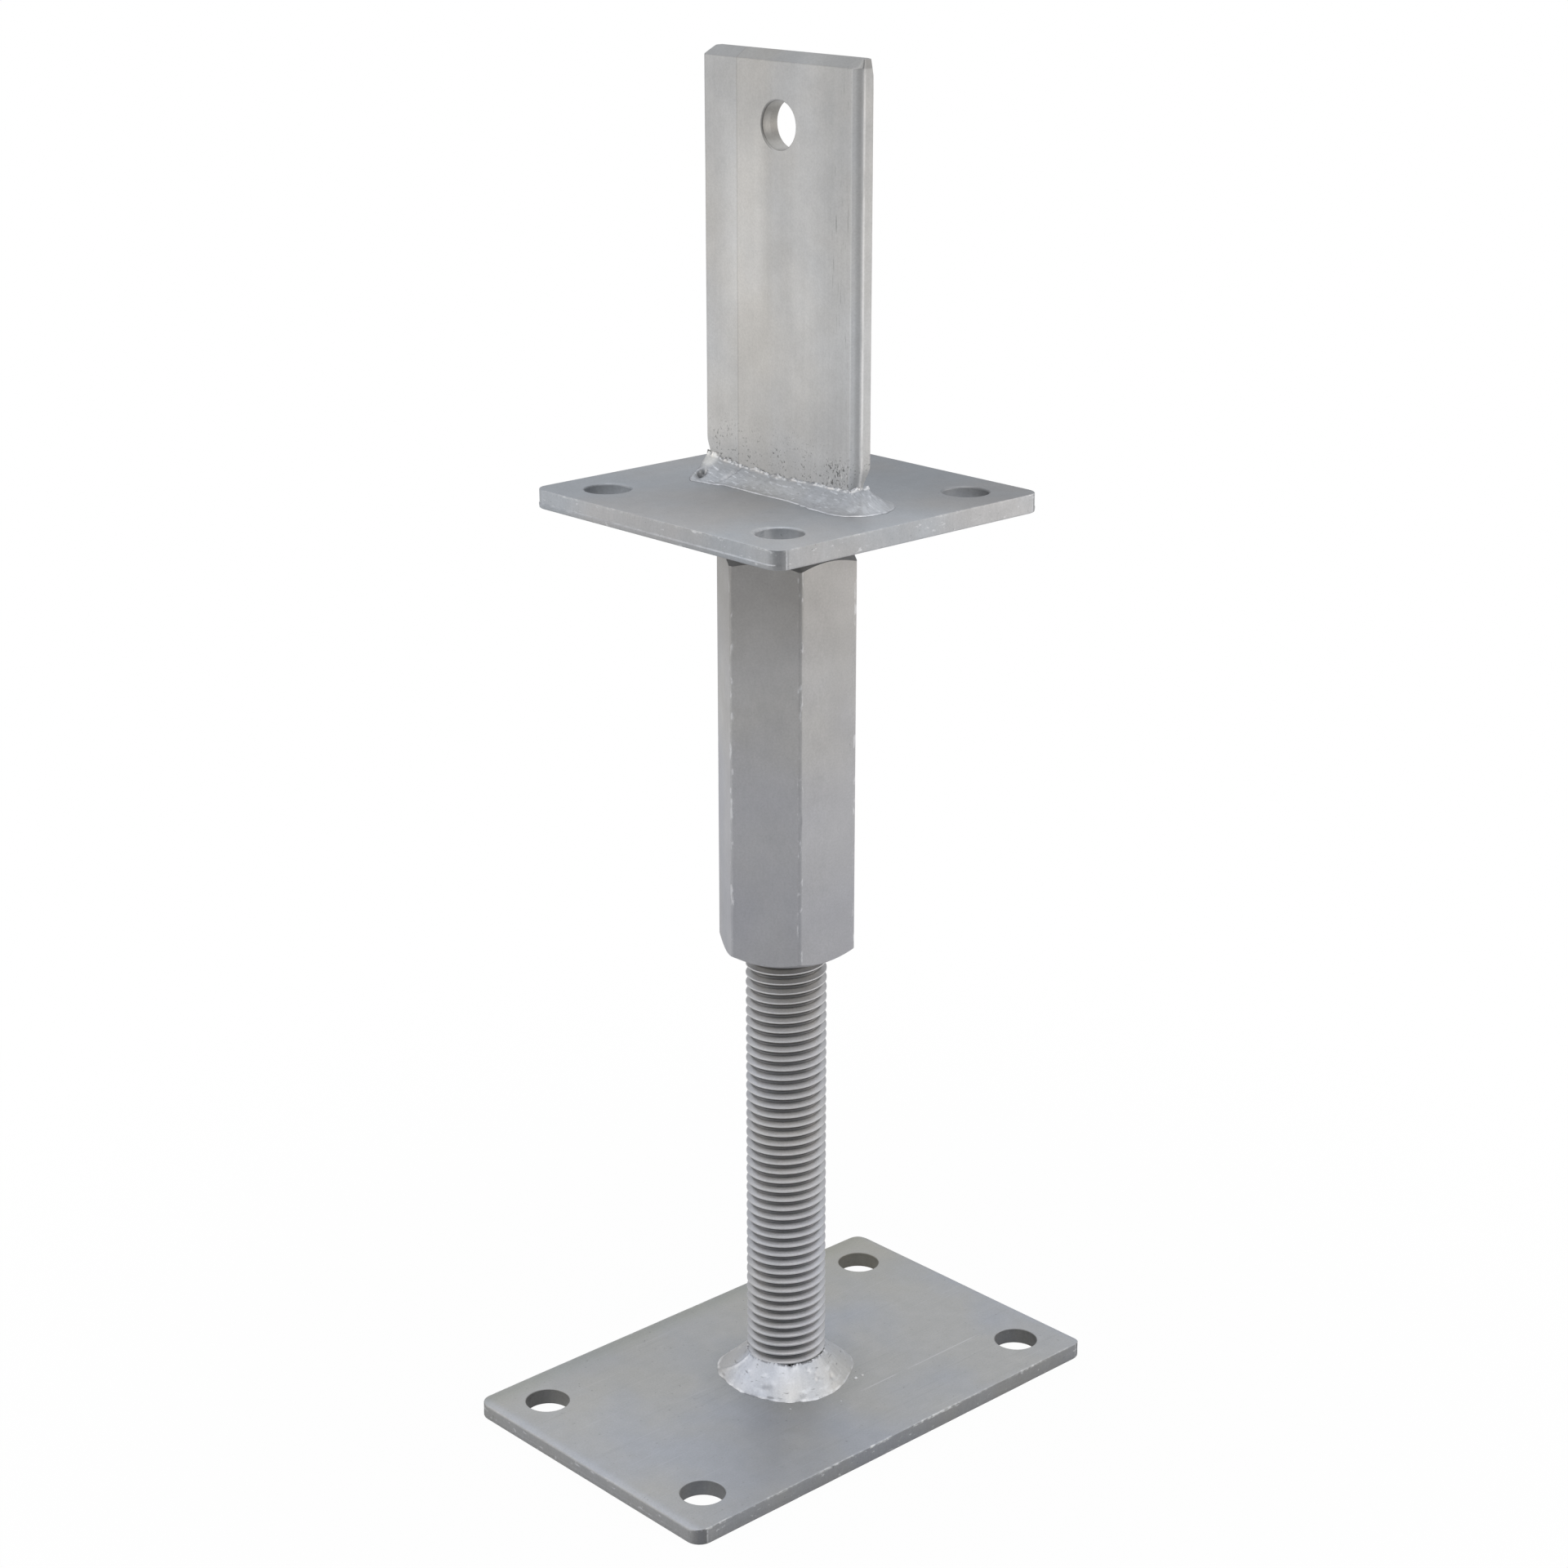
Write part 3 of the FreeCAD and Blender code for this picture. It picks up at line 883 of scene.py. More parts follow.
def blend(owner, share, first, second, how='MIX'):
    """Mixes a share of a second colour into a first one."""
    colours = {0: share, MIX_A: first, MIX_B: second}
    return add_node(owner, "Mix", colours, MIX_RESULT, data_type='RGBA', blend_type=how)


def seen_from(place, spot):
    """A place measured from another spot."""
    return add_node(place, "VectorMath", {0: place, 1: spot}, operation='SUBTRACT')


def patches(place, size, low, high, drawn=(1, 1, 1), turn=(0, 0, 0)):
    """Mask of soft patches of a real size, drawn out along turned axes. It rises between two noise levels."""
    spot = add_node(place, "Mapping", {"Vector": place, "Rotation": turn, "Scale": drawn},
                    vector_type='TEXTURE')
    cloud = add_node(place, "TexNoise", {"Vector": spot, "Scale": 1 / (size * MM), "Detail": 3.0})
    return span(cloud, low, high)


def component(vector, axis, folded):
    """One component of a vector, without its sign where folded."""
    part = add_node(vector, "SeparateXYZ", {0: vector}, output=axis)
    if folded:
        part = add_node(vector, "Math", {0: part}, operation='ABSOLUTE')
    return part


def band(place, axis, start, end, folded=False):
    """Mask that rises from 0 to 1 between two places along an axis, on both its halves where folded."""
    along = component(place, axis, folded)
    return span(along, start * MM, end * MM, eased=True)


def strip(place, axis, start, full_from, full_to, end, folded=False):
    """Mask of a strip across an axis: 1 between its inner places, and 0 beyond its outer ones."""
    return both(band(place, axis, start, full_from, folded), band(place, axis, end, full_to, folded))


def from_axis(place, start, end):
    """Mask that rises from 0 to 1 between two distances from the upright axis."""
    level = add_node(place, "VectorMath", {0: place, 1: (1, 1, 0)}, operation='MULTIPLY')
    away = add_node(place, "VectorMath", {0: level}, operation='LENGTH', output="Value")
    return span(away, start * MM, end * MM, eased=True)


def facing(place, axis, start, end, folded=False):
    """Mask that rises from 0 to 1 as a surface turns to face along an axis, or either way where folded."""
    normal = add_node(place, "NewGeometry", output="Normal")
    return span(component(normal, axis, folded), start, end)


def both(*masks):
    """Mask where all the given masks meet."""
    shared = masks[0]
    for mask in masks[1:]:
        shared = add_node(shared, "Math", {0: shared, 1: mask}, operation='MULTIPLY')
    return shared


def tint(tone, mask, colour, strength):
    """Moves a tone towards a colour where a mask is."""
    share = add_node(mask, "Math", {0: mask, 1: strength}, operation='MULTIPLY')
    return blend(mask, share, tone, linear(colour))


def shade(tone, mask, within, without=1.0):
    """Makes a tone darker or lighter, by one factor within a mask and another without."""
    return blend(mask, 1.0, tone, span(mask, 0, 1, without, within), 'MULTIPLY')


def zinc(name, cool, warm):
    """New matte zinc finish: it drifts between a cool and a warm grey, with faint mottling."""
    material = bpy.data.materials.new(name)
    material.use_nodes = True
    place = add_node(material.node_tree, "TexCoord", output="Object")
    drift = patches(place, DRIFT_SIZE, 0.38, 0.62)
    tone = blend(place, drift, linear(cool), linear(warm))
    return material, place, shade(tone, patches(place, MOTTLE_SIZE, 0.3, 0.7), 1.03, 0.97)


def coat(material, place, tone, roughness, relief=GRAIN_RELIEF):
    """Lays a tone on with a fine frosty grain, and with a sheen that varies a little."""
    tree = material.node_tree
    shader = tree.nodes["Principled BSDF"]
    shader.inputs["Metallic"].default_value = METAL_SHARE
    grain = patches(place, GRAIN_SIZE, 0.25, 0.75)
    tree.links.new(shade(tone, grain, 1 + GRAIN_RANGE, 1 - GRAIN_RANGE), shader.inputs["Base Color"])
    cloud = patches(place, SHEEN_SIZE, 0.3, 0.7)
    sheen = span(cloud, 0, 1, roughness - SHEEN_RANGE, roughness + SHEEN_RANGE)
    tree.links.new(sheen, shader.inputs["Roughness"])
    bump = add_node(tree, "Bump", {"Height": grain, "Strength": GRAIN_BUMP, "Distance": relief * MM})
    tree.links.new(bump, shader.inputs["Normal"])
    return material


def painted_corner_shade_and_crease(place, tone, sides, high, share):
    """Painted shade on a plate's round corners, and a broken pale crease line, a painted highlight, where
    each meets the side across Y.
    """
    end_x = high.x / MM
    end_y = high.y / MM
    corner = both(sides, band(place, "X", end_x - 3.6, end_x - 3.3, True),
                  band(place, "Y", end_y - 4.4, end_y - 1.2, True))
    # Painted shade on the round corners
    tone = shade(tone, corner, share)
    # The pale crease line is a painted highlight
    crease = both(sides, strip(place, "X", end_x - 4.0, end_x - 3.8, end_x - 3.5, end_x - 3.3, True),
                  band(place, "Y", end_y - 1.2, end_y - 0.9, True), patches(place, 1.2, 0.4, 0.55))
    return tint(tone, crease, "#e2e3e6", 0.45)


def rim_nicks_and_highlight(place, high):
    """Mask of nicks, in groups, along a plate's upper rim; the same mask carries the rim's painted highlight.
    """
    end_x = high.x / MM
    end_y = high.y / MM
    top = high.z / MM
    across_x = band(place, "X", end_x - 0.6, end_x - 0.4, True)
    across_y = band(place, "Y", end_y - 0.6, end_y - 0.4, True)
    edge = add_node(place, "Math", {0: across_x, 1: across_y}, operation='MAXIMUM')
    return both(edge, band(place, "Z", top - 0.8, top - 0.4), patches(place, 0.8, 0.42, 0.64, (2, 2, 1)),
                patches(place, 9, 0.42, 0.6))


def plate_marks(place, tone, high, painted_side_light_and_shade, painted_hole_shade, painted_corner_shade, nick_and_highlight_share):
    """Streaked sides, pale nicked rims and specks from shearing and dipping, with painted light and shade on
    the sides and painted shade in the holes.
    """
    sides = facing(place, "Z", 0.8, 0.3, True)
    # Painted light and shade: the whole of the sides made darker on the base and lighter on the head
    tone = shade(tone, sides, painted_side_light_and_shade)
    tone = shade(tone, both(sides, patches(place, 0.9, 0.45, 0.65, (1, 1, 8))), 1.04)
    tone = painted_corner_shade_and_crease(place, tone, sides, high, painted_corner_shade)
    folded = add_node(place, "VectorMath", {0: place}, operation='ABSOLUTE')
    hole = (high.x - BOLT_INSET, high.y - BOLT_INSET, 0)
    by_hole = seen_from(folded, hole)
    bolt = BOLT_RADIUS / MM
    # Painted shade in the bolt holes, deepest on the walls that face outwards
    wall = from_axis(by_hole, bolt + 0.4, bolt)
    tone = shade(tone, wall, painted_hole_shade / painted_side_light_and_shade)
    outwards = add_node(place, "Mapping", {"Vector": by_hole, "Rotation": ALONG_DIAGONAL})
    tone = shade(tone, both(wall, band(outwards, "X", -5, 5)), 0.75)
    # Pale rim nicks, partly burrs and partly a painted highlight
    tone = tint(tone, rim_nicks_and_highlight(place, high), "#eceded", nick_and_highlight_share)
    off_holes = from_axis(by_hole, bolt + 0.4, bolt + 0.7)
    tone = tint(tone, both(sides, off_holes, patches(place, 1.2, 0.65, 0.71, (2, 2, 1))), "#e2e3e6", 0.5)
    return shade(tone, patches(place, 1.1, 0.69, 0.74), 0.72)


def zinc_on_base(high):
    """Base plate: rolling lines, a scratch, a burnt ring round the weld, a green back edge, a pale blue
    painted highlight on the rolled ends, and painted light and shade.
    """
    material, place, tone = zinc("hot_dip_zinc_on_base_plate", "#abaeb4", "#b1b1b0")
    tone = shade(tone, patches(place, 0.8, 0.62, 0.72, (50, 1, 1)), 1.08)
    tone = shade(tone, patches(place, 1.2, 0.6, 0.7, (40, 1, 1)), 0.95)
    scratch = both(strip(place, "Y", -25.5, -25.2, -25.1, -24.8), strip(place, "X", 6, 12, 54, 60),
                   patches(place, 1.5, 0.35, 0.5, (4, 1, 1)))
    tone = tint(tone, scratch, "#dcdde0", 0.4)
    tone = tint(tone, from_axis(place, 30, 19), "#8f908c", 0.22)
    tone = shade(tone, both(from_axis(place, 26, 20.5), patches(place, 0.8, 0.65, 0.72)), 0.6)
    tone = tint(tone, band(place, "Y", 41, 47), "#8f968d", 0.35)
    tone = tint(tone, band(place, "Y", 10, 45), "#aba9a2", 0.3)
    # Painted light: lighter towards the -X end
    tone = shade(tone, band(place, "X", -30, -65), 1.05)
    # Painted highlight: pale blue on the rolled-over ends
    tone = tint(tone, band(place, "X", 76, 79, True), "#b7bcc8", 0.3)
    # Painted light and shade by facing: warm on the ends facing X, darker on the long sides facing Y
    tone = tint(tone, facing(place, "X", 0.6, 0.9, True), "#bdbab2", 0.3)
    tone = shade(tone, facing(place, "Y", 0.6, 0.9, True), 0.9)
    tone = plate_marks(place, tone, high, painted_side_light_and_shade=0.86, painted_hole_shade=0.75, painted_corner_shade=0.61, nick_and_highlight_share=0.8)
    back_corner = both(band(place, "X", 25, 65), band(place, "Y", 0, 35))
    tone = tint(tone, back_corner, "#b5b09f", 0.35)
    return coat(material, place, tone, 0.55)


def zinc_on_head(high):
    """Head plate: cool grey with painted light and shade, paler to the front corner, a painted highlight on
    the lip over a painted shaded strip at two ends, and a painted highlight by the front hole.
    """
    material, place, tone = zinc("hot_dip_zinc_on_head_plate", "#a9adb2", "#adadae")
    top = high.z / MM
    slant = add_node(place, "Mapping", {"Vector": place, "Rotation": ALONG_DIAGONAL})
    upper = facing(place, "Z", 0.3, 0.8)
    # Painted light and shade on the top: paler to the front corner, darker towards the back and towards +X
    tone = shade(tone, both(upper, band(slant, "X", -6, -64)), 1.26)
    tone = shade(tone, both(upper, band(slant, "X", -64, -6)), 0.93)
    tone = shade(tone, both(upper, band(place, "X", 0, 40)), 0.8)
    # Painted light on the sides away from the front corner
    sides = facing(place, "Z", 0.8, 0.3, True)
    tone = shade(tone, both(sides, band(slant, "X", -50, -15)), 1.1)
    # Painted shade on the strip under the lip at the two ends, and a painted highlight on the lip
    end = both(band(place, "X", 48.5, 49.2, True), band(place, "Y", 47.5, 45.5, True))
    tone = shade(tone, both(end, band(place, "Z", top - 4.1, top - 4.3)), 0.9)
    lip = both(end, patches(place, 3, 0.3, 0.6), strip(place, "Z", top - 4.2, top - 4, top - 3.8, top - 3.6))
    tone = tint(tone, lip, "#e6e7ea", 0.25)
    tone = plate_marks(place, tone, high, painted_side_light_and_shade=1.04, painted_hole_shade=0.95, painted_corner_shade=0.74,
                       nick_and_highlight_share=0.55)
    # Painted highlight on the left of the front hole's rim and wall
    hole = ((BOLT_INSET - high.x) * math.sqrt(2), 0, 0)
    by_front_hole = seen_from(slant, hole)
    painted_hole_highlight = both(from_axis(by_front_hole, 8.2, 7), band(by_front_hole, "Y", 1, 4), patches(place, 2, 0.3, 0.5))
    tone = tint(tone, painted_hole_highlight, "#d2d3d5", 0.6)
    return coat(material, place, tone, 0.52)


def zinc_on_thread():
    """Rolled thread: wide pale upper flanks, with painted shade on the brownish lower flanks and dark roots,
    and a painted highlight on the pale crests.
    """
    material, place, tone = zinc("zinc_on_rolled_thread", "#cbccd1", "#c9c8c8")
    root = THREAD_ROOT / MM
    crest = THREAD_CREST / MM
    # Painted shade: brownish lower flanks and dark roots
    tone = tint(tone, facing(place, "Z", -0.3, -0.6), "#8a8272", 0.6)
    tone = shade(tone, from_axis(place, root + 0.6, root), 0.32)
    # Painted highlight on the crests
    tone = tint(tone, from_axis(place, crest - 0.15, crest - 0.02), "#dcdcdc", 0.5)
    return coat(material, place, tone, 0.42, relief=0.02)


def round_place(place):
    """Coordinates that follow the rod's weld: round the upright axis from +X, then up."""
    turned = add_node(place, "Mapping", {"Vector": place, "Rotation": (0, 0, math.pi)})
    share = add_node(place, "TexGradient", {0: turned}, gradient_type='RADIAL', output="Fac")
    along = add_node(place, "Math", {0: share, 1: 360 * DEGREE}, operation='MULTIPLY')
    height = component(place, "Z", False)
    return add_node(place, "CombineXYZ", {"X": along, "Y": height})


def zinc_on_rod_weld():
    """Weld metal under bright zinc: smears along the bead, pits and a dull start, with a painted highlight
    along the toe and painted light on its left side.
    """
    material, place, tone = zinc("bright_zinc_on_rod_weld", "#c3c7d0", "#c5c5c4")
    along = round_place(place)
    degree = DEGREE / MM
    tone = tint(tone, band(along, "X", 154 * degree, 146 * degree), "#b0b1b3", 0.45)
    tone = shade(tone, patches(along, 0.9, 0.63, 0.70, (4, 1, 1)), 0.6)
    tone = shade(tone, patches(place, 0.7, 0.70, 0.76), 0.55)
    tone = tint(tone, patches(along, 1.6, 0.58, 0.74, (3, 1, 1)), "#f2f4f8", 0.35)
    # Painted highlight along the toe
    toe = both(band(place, "Z", 5.7, 5.3), patches(along, 2, 0.4, 0.55), from_axis(place, 22.4, 22))
    tone = tint(tone, toe, "#f0f1f4", 0.45)
    # Painted light: lighter on the left side
    tone = tint(tone, band(place, "Y", 2, 12), "#dad6d0", 0.35)
    return coat(material, place, tone, 0.46)


def zinc_on_blade_weld():
    """Weld metal under dull zinc: smears along the bead, pits, a pale lip over a dull strip, a painted
    highlight along the toe and by the lip's peak, and painted shade in the crater.
    """
    material, place, tone = zinc("dull_zinc_on_blade_weld", "#b3b6bb", "#b7b7b6")
    share = add_node(place, "Attribute", attribute_name=FACE_ATTRIBUTE, output="Vector")
    # Scaled so that a band reads the share of the way down the face as it reads millimetres
    down = add_node(place, "VectorMath", {0: share, "Scale": MM}, operation='SCALE')
    slant = (math.radians(12), 0, 0)
    tone = shade(tone, band(down, "X", 0.5, 0.15), 0.84)
    tone = shade(tone, band(place, "Y", -25, 20), 0.92, 1.08)
    tone = shade(tone, patches(place, 0.6, 0.45, 0.65, (1, 6, 1), slant), 0.86)
    tone = tint(tone, patches(place, 0.8, 0.58, 0.70, (1, 5, 1), slant), "#e4e7ec", 0.5)
    tone = shade(tone, patches(place, 0.8, 0.68, 0.74), 0.6)
    tone = tint(tone, both(band(down, "X", 0.1, 0.06), patches(place, 1.3, 0.45, 0.55)), "#f0f0f0", 0.6)
    # Painted highlight along the toe
    toe = both(band(down, "X", 0.88, 0.94), patches(place, 1.6, 0.38, 0.55, (1, 3, 1)))
    tone = tint(tone, toe, "#eef0f4", 0.4)
    # Painted highlight by the lip's peak
    by_peak = seen_from(place, BLADE_PEAK)
    tone = tint(tone, both(from_axis(by_peak, 4, 1.5), band(place, "Z", 281.5, 283.5)), "#efeeea", 0.5)
    # Painted shade in the crater
    tone = shade(tone, from_axis(seen_from(place, BLADE_CRATER), 1.5, 0.8), 0.42)
    return coat(material, place, tone, 0.42)


def zinc_on_bar():
    """Drawn hexagon bar: fine-grained grey, warm at its top, bluer below, with painted shade from the head
    plate at the top of its front faces, darker at the bottom, and pale nicked edges.
    """
    material, place, tone = zinc("zinc_on_drawn_hexagon_bar", "#b4b4b7", "#b7b6b5")
    tone = shade(tone, patches(place, 1.1, 0.3, 0.7, (1, 1, 4)), 1.02, 0.98)
    tone = shade(tone, patches(place, 1.0, 0.72, 0.77), 0.8)
    tone = tint(tone, band(place, "Z", 225, 255), "#b8b4ae", 0.5)
    tone = tint(tone, band(place, "Z", 215, 190), "#aeb0b9", 0.4)
    # Painted shade: the head plate's shadow on the top of the front faces
    tone = shade(tone, both(band(place, "Z", 228, 258), band(place, "X", -9.5, -10.5)), 0.8)
    tone = shade(tone, band(place, "Z", 185, 160), 0.95)
    edge = both(from_axis(place, 20.2, 20.45), patches(place, 1.6, 0.57, 0.66, (1, 1, 2.5)))
    tone = tint(tone, edge, "#eeeff1", 0.45)
    return coat(material, place, tone, 0.52)


def blade_face(place, tone):
    """Drawing lines, a warm band, pale bands that are painted highlights, painted light at the foot by the
    right edge, a darker strip, one long dark line, and scratches by the right edge.
    """
    tone = shade(tone, patches(place, 1.3, 0.35, 0.65, (1, 1, 60)), 1.015, 0.985)
    tone = tint(tone, strip(place, "Y", 0, 6, 16.4, 16.8), "#c6c2bb", 0.3)
    # Painted highlights: pale bands
    tone = shade(tone, both(strip(place, "Y", 3, 9, 17, 25), strip(place, "Z", 312, 350, 366, 388)), 1.2)
    tone = shade(tone, both(strip(place, "Y", -17, -13, -9, -4), band(place, "Z", 310, 335)), 1.07)
    # Painted light at the foot by the right edge
    tone = shade(tone, both(band(place, "Z", 300, 292), band(place, "Y", -28, -25)), 1.08)
    tone = shade(tone, strip(place, "Y", -28, -25, -20, -16), 0.95)
    tone = shade(tone, strip(place, "Y", 16.1, 16.4, 16.5, 16.8), 0.86)
    scratch = both(strip(place, "Y", -28, -27, -22, -19), patches(place, 0.4, 0.65, 0.71, (1, 1, 20)))
    return shade(tone, scratch, 0.64)


def blade_ends(place, tone):
    """Painted shade on the narrow ends, painted light on the pressed-over edge, and a broken painted
    highlight beside it on the right end.
    """
    # Painted shade on the narrow ends
    tone = shade(tone, facing(place, "Y", 0.7, 0.95, True), 0.88)
    # Painted light on the pressed-over edge
    painted_roll_light = both(facing(place, "Y", -0.05, -0.3), facing(place, "Y", -0.8, -0.65))
    tone = shade(tone, painted_roll_light, 1.26)
    # Broken painted highlight along the right end's edge
    edge = both(facing(place, "Y", -0.85, -0.95), band(place, "X", 0.3, -0.2),
                patches(place, 2.5, 0.3, 0.5, (1, 1, 6)))
    return tint(tone, edge, "#f4f4f5", 0.35)


def blade_foot(place, tone):
    """Dark gouges with pale burrs by the right corner, and pits above the weld."""
    gouged = both(strip(place, "Y", -27.8, -27.2, -21, -17), band(place, "Z", 293, 289))
    tone = shade(tone, both(gouged, patches(place, 0.7, 0.56, 0.61, (1, 1, 1.6))), 0.4)
    tone = tint(tone, both(gouged, patches(place, 0.9, 0.62, 0.66, (1, 1, 2))), "#eeeeee", 0.6)
    pits = both(band(place, "Z", 302, 287), patches(place, 0.65, 0.61, 0.66), patches(place, 4, 0.4, 0.55))
    return shade(tone, pits, 0.45)


def dowel_hole(place, tone, high):
    """Warm grey wall of the blade's hole, with painted shade on its left and darker painted shade on the rim
    there.
    """
    by_hole = add_node(place, "Mapping", {"Vector": place, "Rotation": (0, math.pi / 2, 0),
                                          "Location": (BLADE_HOLE_DROP - high.z, 0, 0)})
    radius = BLADE_HOLE_RADIUS / MM
    tone = tint(tone, from_axis(by_hole, radius + 0.3, radius), "#a39f97", 0.35)
    # Painted shade on the left of the hole, deepest at its rim
    left = both(from_axis(by_hole, radius + 0.6, radius + 0.4), band(place, "Y", 0, 6))
    tone = shade(tone, left, 0.82)
    return shade(tone, both(left, band(place, "X", -2.3, -2.6)), 0.6)


def zinc_on_blade(high):
    """Flat bar: light satin grey, drawn along its length, with painted light paler to the foot, and painted
    shade darker to the top and on the bevelled top.
    """
    material, place, tone = zinc("zinc_on_flat_bar", "#c2c3c4", "#c5c4c2")
    tone = blade_face(place, tone)
    tone = blade_ends(place, tone)
    tone = blade_foot(place, tone)
    # Painted light and shade: paler to the foot, darker to the top
    tone = shade(tone, band(place, "Z", 290, 397), 0.92, 1.1)
    # Painted shade on the bevelled top
    tone = shade(tone, band(place, "Z", 394.9, 395.4), 0.71)
    tone = dowel_hole(place, tone, high)
    return coat(material, place, tone, 0.52)


def dress(piece, node, body, material):
    """Gives a piece its finish and lets it stand for its CAD node."""
    piece.data.materials.clear()
    piece.data.materials.append(material)
    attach(piece, body)
    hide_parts(node)


base_low, base_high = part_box("base_plate")
head_low, head_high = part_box("head_plate")
blade_low, blade_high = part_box("blade")
bar_zinc = zinc_on_bar()
dress(rolled_base(base_low, base_high), "base_plate", "base", zinc_on_base(base_high))
dress(rolled_thread(*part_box("threaded_rod")), "threaded_rod", "base", zinc_on_thread())
dress(rod_bead(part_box("rod_weld")[0]), "rod_weld", "base", zinc_on_rod_weld())
dress(hexagon_sleeve(*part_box("hex_sleeve")), "hex_sleeve", "sleeve", bar_zinc)
dress(lipped_head(head_low, head_high), "head_plate", "head", zinc_on_head(head_high))
dress(flat_bar_blade(blade_low, blade_high), "blade", "head", zinc_on_blade(blade_high))
dress(blade_bead(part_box("blade_weld")[0], blade_high), "blade_weld", "head",
      zinc_on_blade_weld())
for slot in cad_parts["pivot_pin"].material_slots:
    slot.material = bar_zinc


# Studio: pale floor, soft light from both sides, darker towards the camera

CAMERA_PLACE = Vector((-0.5613, -0.6017, 0.4696))
CAMERA_AIM = Vector((-0.0007, 0.0002, 0.1935))
CAMERA_LENS = 69.76
CAMERA_SENSOR = 36.0
CAMERA_NEAR = 0.01
FLOOR_SIZE = 24
FLOOR_COLOUR = "#d2d2d2"
FLOOR_ROUGHNESS = 0.9
FLOOR_WHITE = 0.97
FLOOR_FAR_GLOW = 0.3
# Distances from the upright axis between which parts of the floor's glow change, in millimetres
FLOOR_WHITE_REACH = (80, 400)
FLOOR_MIRROR_REACH = (120, 700)
FLOOR_FAR_REACH = (1500, 4500)
CAMERA_SIDE_START = 0.5
CAMERA_SIDE_DIM = 0.8
CAMERA_SIDE_FULL, CAMERA_SIDE_TOP = 0.4, 0.8
HORIZON_RISE, ZENITH_RISE = 0.22, 0.75
HORIZON = 0.4
ZENITH = 1.15
SKY_COLOUR = "#fafcff"
WHITE = (1, 1, 1, 1)
LAMP_COLOUR = "#fff8f0"
LAMP_AIM = Vector((0, 0, 0.2))
SOFTBOXES = (("left_softbox", (-1.3, 1.2, 0.75), 1.0, 4), ("right_softbox", (1.3, -1.2, 0.45), 1.0, 6),
             ("top_softbox", (-0.45, -0.5, 1.5), 0.8, 3))


def photo_camera():
    """Camera at the photograph's viewpoint."""
    bpy.ops.object.camera_add(location=CAMERA_PLACE)
    camera = bpy.context.active_object
    camera.name = "photo_camera"
    camera.rotation_euler = (CAMERA_AIM - CAMERA_PLACE).to_track_quat('-Z', 'Y').to_euler()
    camera.data.lens = CAMERA_LENS
    camera.data.sensor_width = CAMERA_SENSOR
    camera.data.clip_start = CAMERA_NEAR
    bpy.context.scene.camera = camera


def softbox(name, place, size, power):
    """Square soft light aimed at the middle of the object."""
    bpy.ops.object.light_add(type='AREA', location=place)
    lamp = bpy.context.active_object
    lamp.name = name
    lamp.data.size = size
    lamp.data.energy = power
    lamp.data.color = linear(LAMP_COLOUR)[:3]
    lamp.rotation_euler = (LAMP_AIM - Vector(place)).to_track_quat('-Z', 'Y').to_euler()


def camera_side(way):
    """How far a direction points level to the camera's side: 0 behind and aside, 1 straight there."""
    flat = (CAMERA_PLACE - CAMERA_AIM) * Vector((1, 1, 0))
    along = add_node(way, "VectorMath", {0: way}, operation='NORMALIZE', output="Vector")
    towards = add_node(way, "VectorMath", {0: along, 1: flat.normalized()}, output="Value",
                       operation='DOT_PRODUCT')
    return span(towards, CAMERA_SIDE_START, 1.0, eased=True)


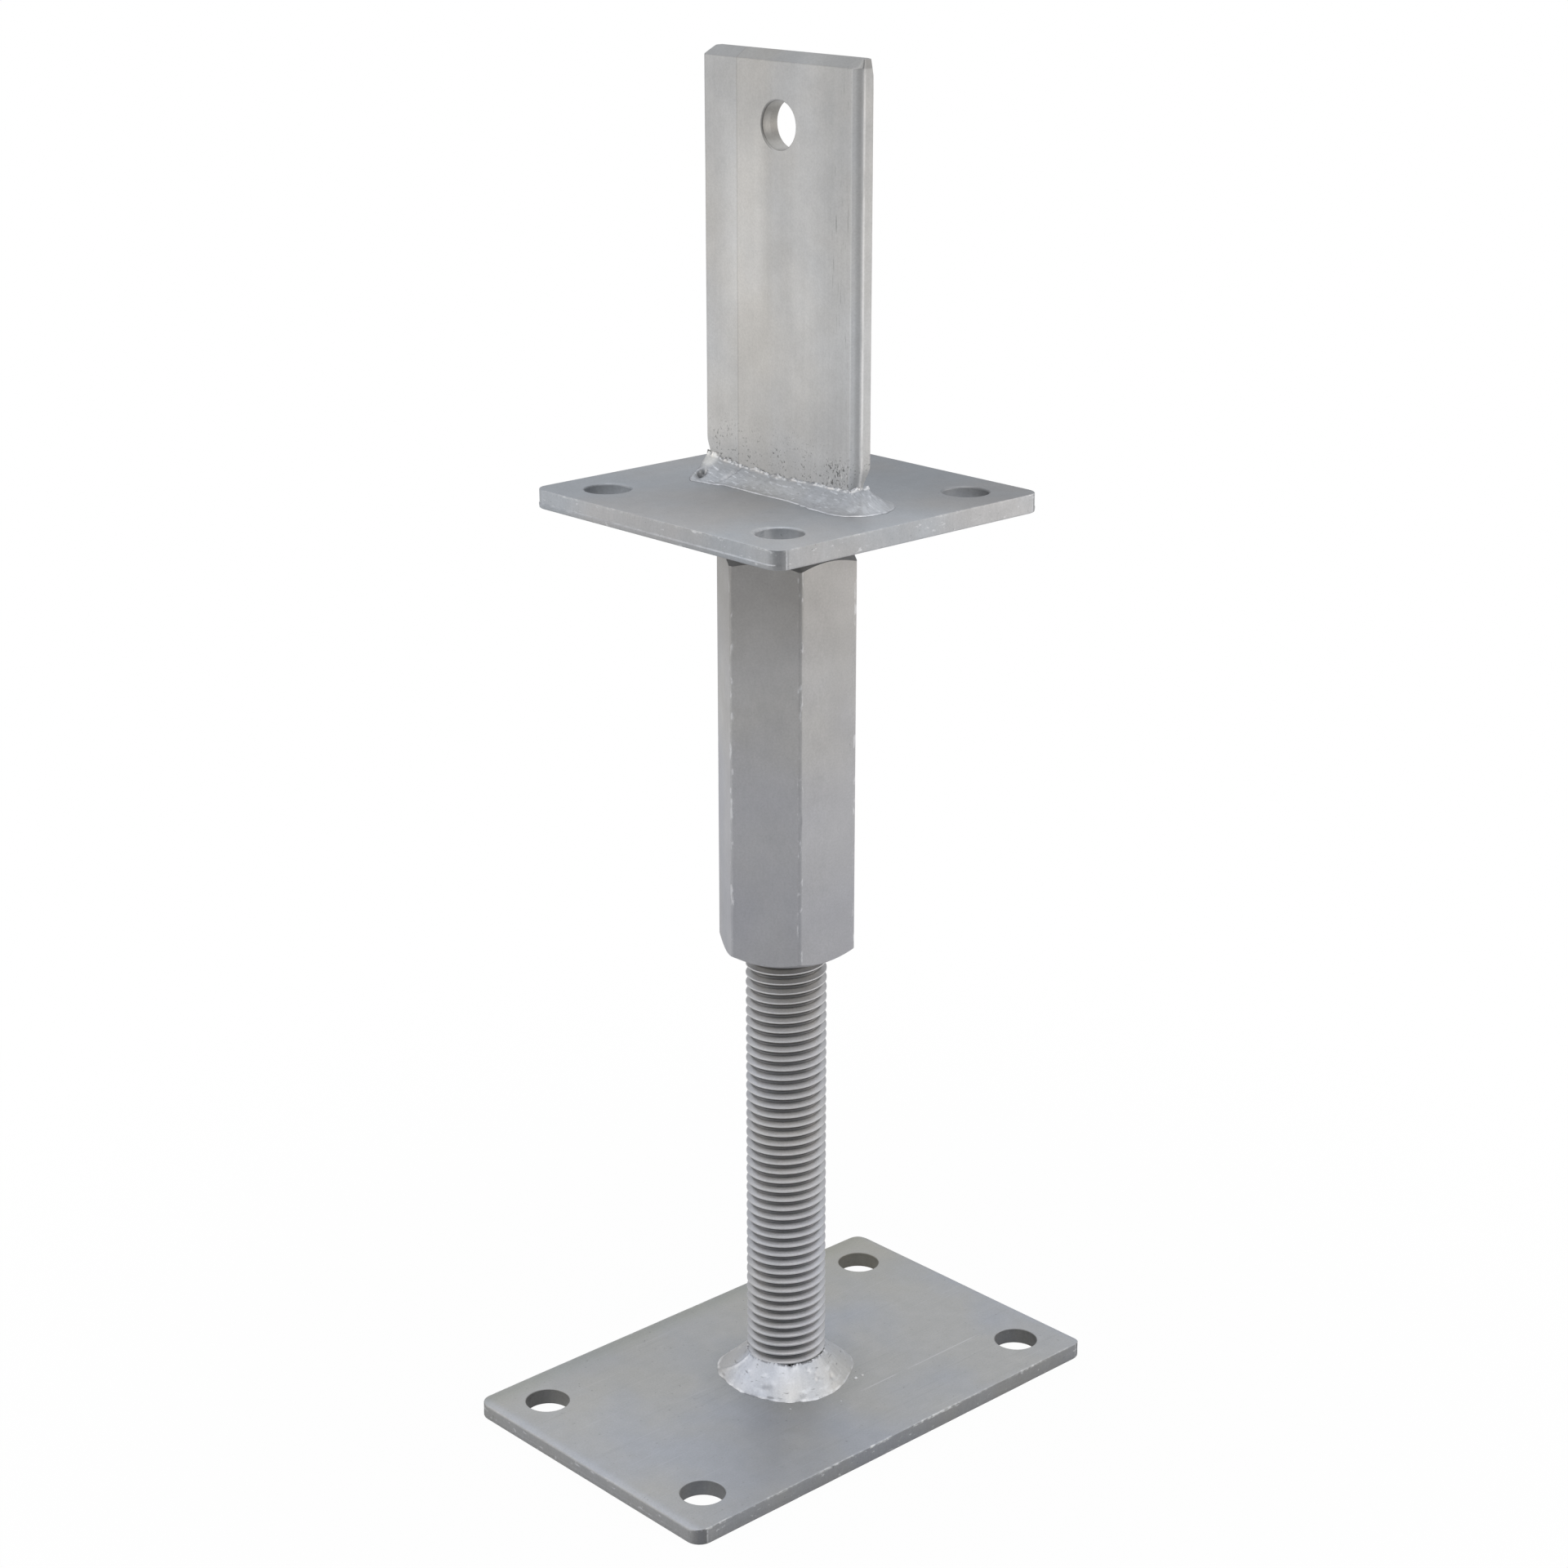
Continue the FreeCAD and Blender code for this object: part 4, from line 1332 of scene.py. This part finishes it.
def floor_glow(place):
    """Share of the floor that glows white: nearly all to the eye, and its far parts in reflections."""
    aside = add_node(place, "Math", {0: 1.0, 1: camera_side(place)}, operation='SUBTRACT')
    far = span(from_axis(place, *FLOOR_FAR_REACH), 0, 1, 1.0, FLOOR_FAR_GLOW)
    white = span(from_axis(place, *FLOOR_WHITE_REACH), 0, 1, FLOOR_WHITE, 1.0)
    seen = both(add_node(place, "LightPath", output="Is Camera Ray"), white)
    glossy = add_node(place, "LightPath", output="Is Glossy Ray")
    mirrored = both(glossy, far, from_axis(place, *FLOOR_MIRROR_REACH), aside)
    return add_node(place, "Math", {0: seen, 1: mirrored}, operation='MAXIMUM')


def pale_floor():
    """Pale paper floor: white to the eye and in far reflections, with the object's shadow kept."""
    floor = add_piece("studio_floor", bpy.ops.mesh.primitive_plane_add, size=FLOOR_SIZE, location=(0, 0, 0))
    material = bpy.data.materials.new("pale_paper_floor")
    material.use_nodes = True
    tree = material.node_tree
    shader = tree.nodes["Principled BSDF"]
    shader.inputs["Base Color"].default_value = linear(FLOOR_COLOUR)
    shader.inputs["Roughness"].default_value = FLOOR_ROUGHNESS
    place = add_node(tree, "TexCoord", output="Object")
    glow = add_node(tree, "Emission", {"Color": WHITE, "Strength": 1.0})
    mixed = add_node(tree, "MixShader", {0: floor_glow(place), 1: shader.outputs[0], 2: glow})
    tree.links.new(mixed, tree.nodes["Material Output"].inputs["Surface"])
    floor.data.materials.append(material)


def sky_strength(way):
    """Strength of the sky's light: it grows from the horizon up, and is dim low on the camera's side."""
    height = component(way, "Z", False)
    low = span(height, CAMERA_SIDE_TOP, CAMERA_SIDE_FULL, eased=True)
    kept = span(both(camera_side(way), low), 0, 1, 1.0, 1 - CAMERA_SIDE_DIM)
    return both(span(height, HORIZON_RISE, ZENITH_RISE, HORIZON, ZENITH), kept)


def studio_world():
    """White to the eye; the light is soft, and dimmer on the camera's side."""
    world = bpy.data.worlds.new("studio")
    bpy.context.scene.world = world
    world.use_nodes = True
    tree = world.node_tree
    background = tree.nodes["Background"]
    way = add_node(tree, "TexCoord", output="Generated")
    seen = add_node(tree, "LightPath", output="Is Camera Ray")
    strength = add_node(tree, "Mix", {0: seen, 2: sky_strength(way), 3: 1.0})
    tree.links.new(strength, background.inputs["Strength"])
    colour = blend(tree, seen, linear(SKY_COLOUR), WHITE)
    tree.links.new(colour, background.inputs["Color"])


photo_camera()
pale_floor()
studio_world()
for lamp_settings in SOFTBOXES:
    softbox(*lamp_settings)

scene = bpy.context.scene
scene.view_settings.view_transform = 'Standard'
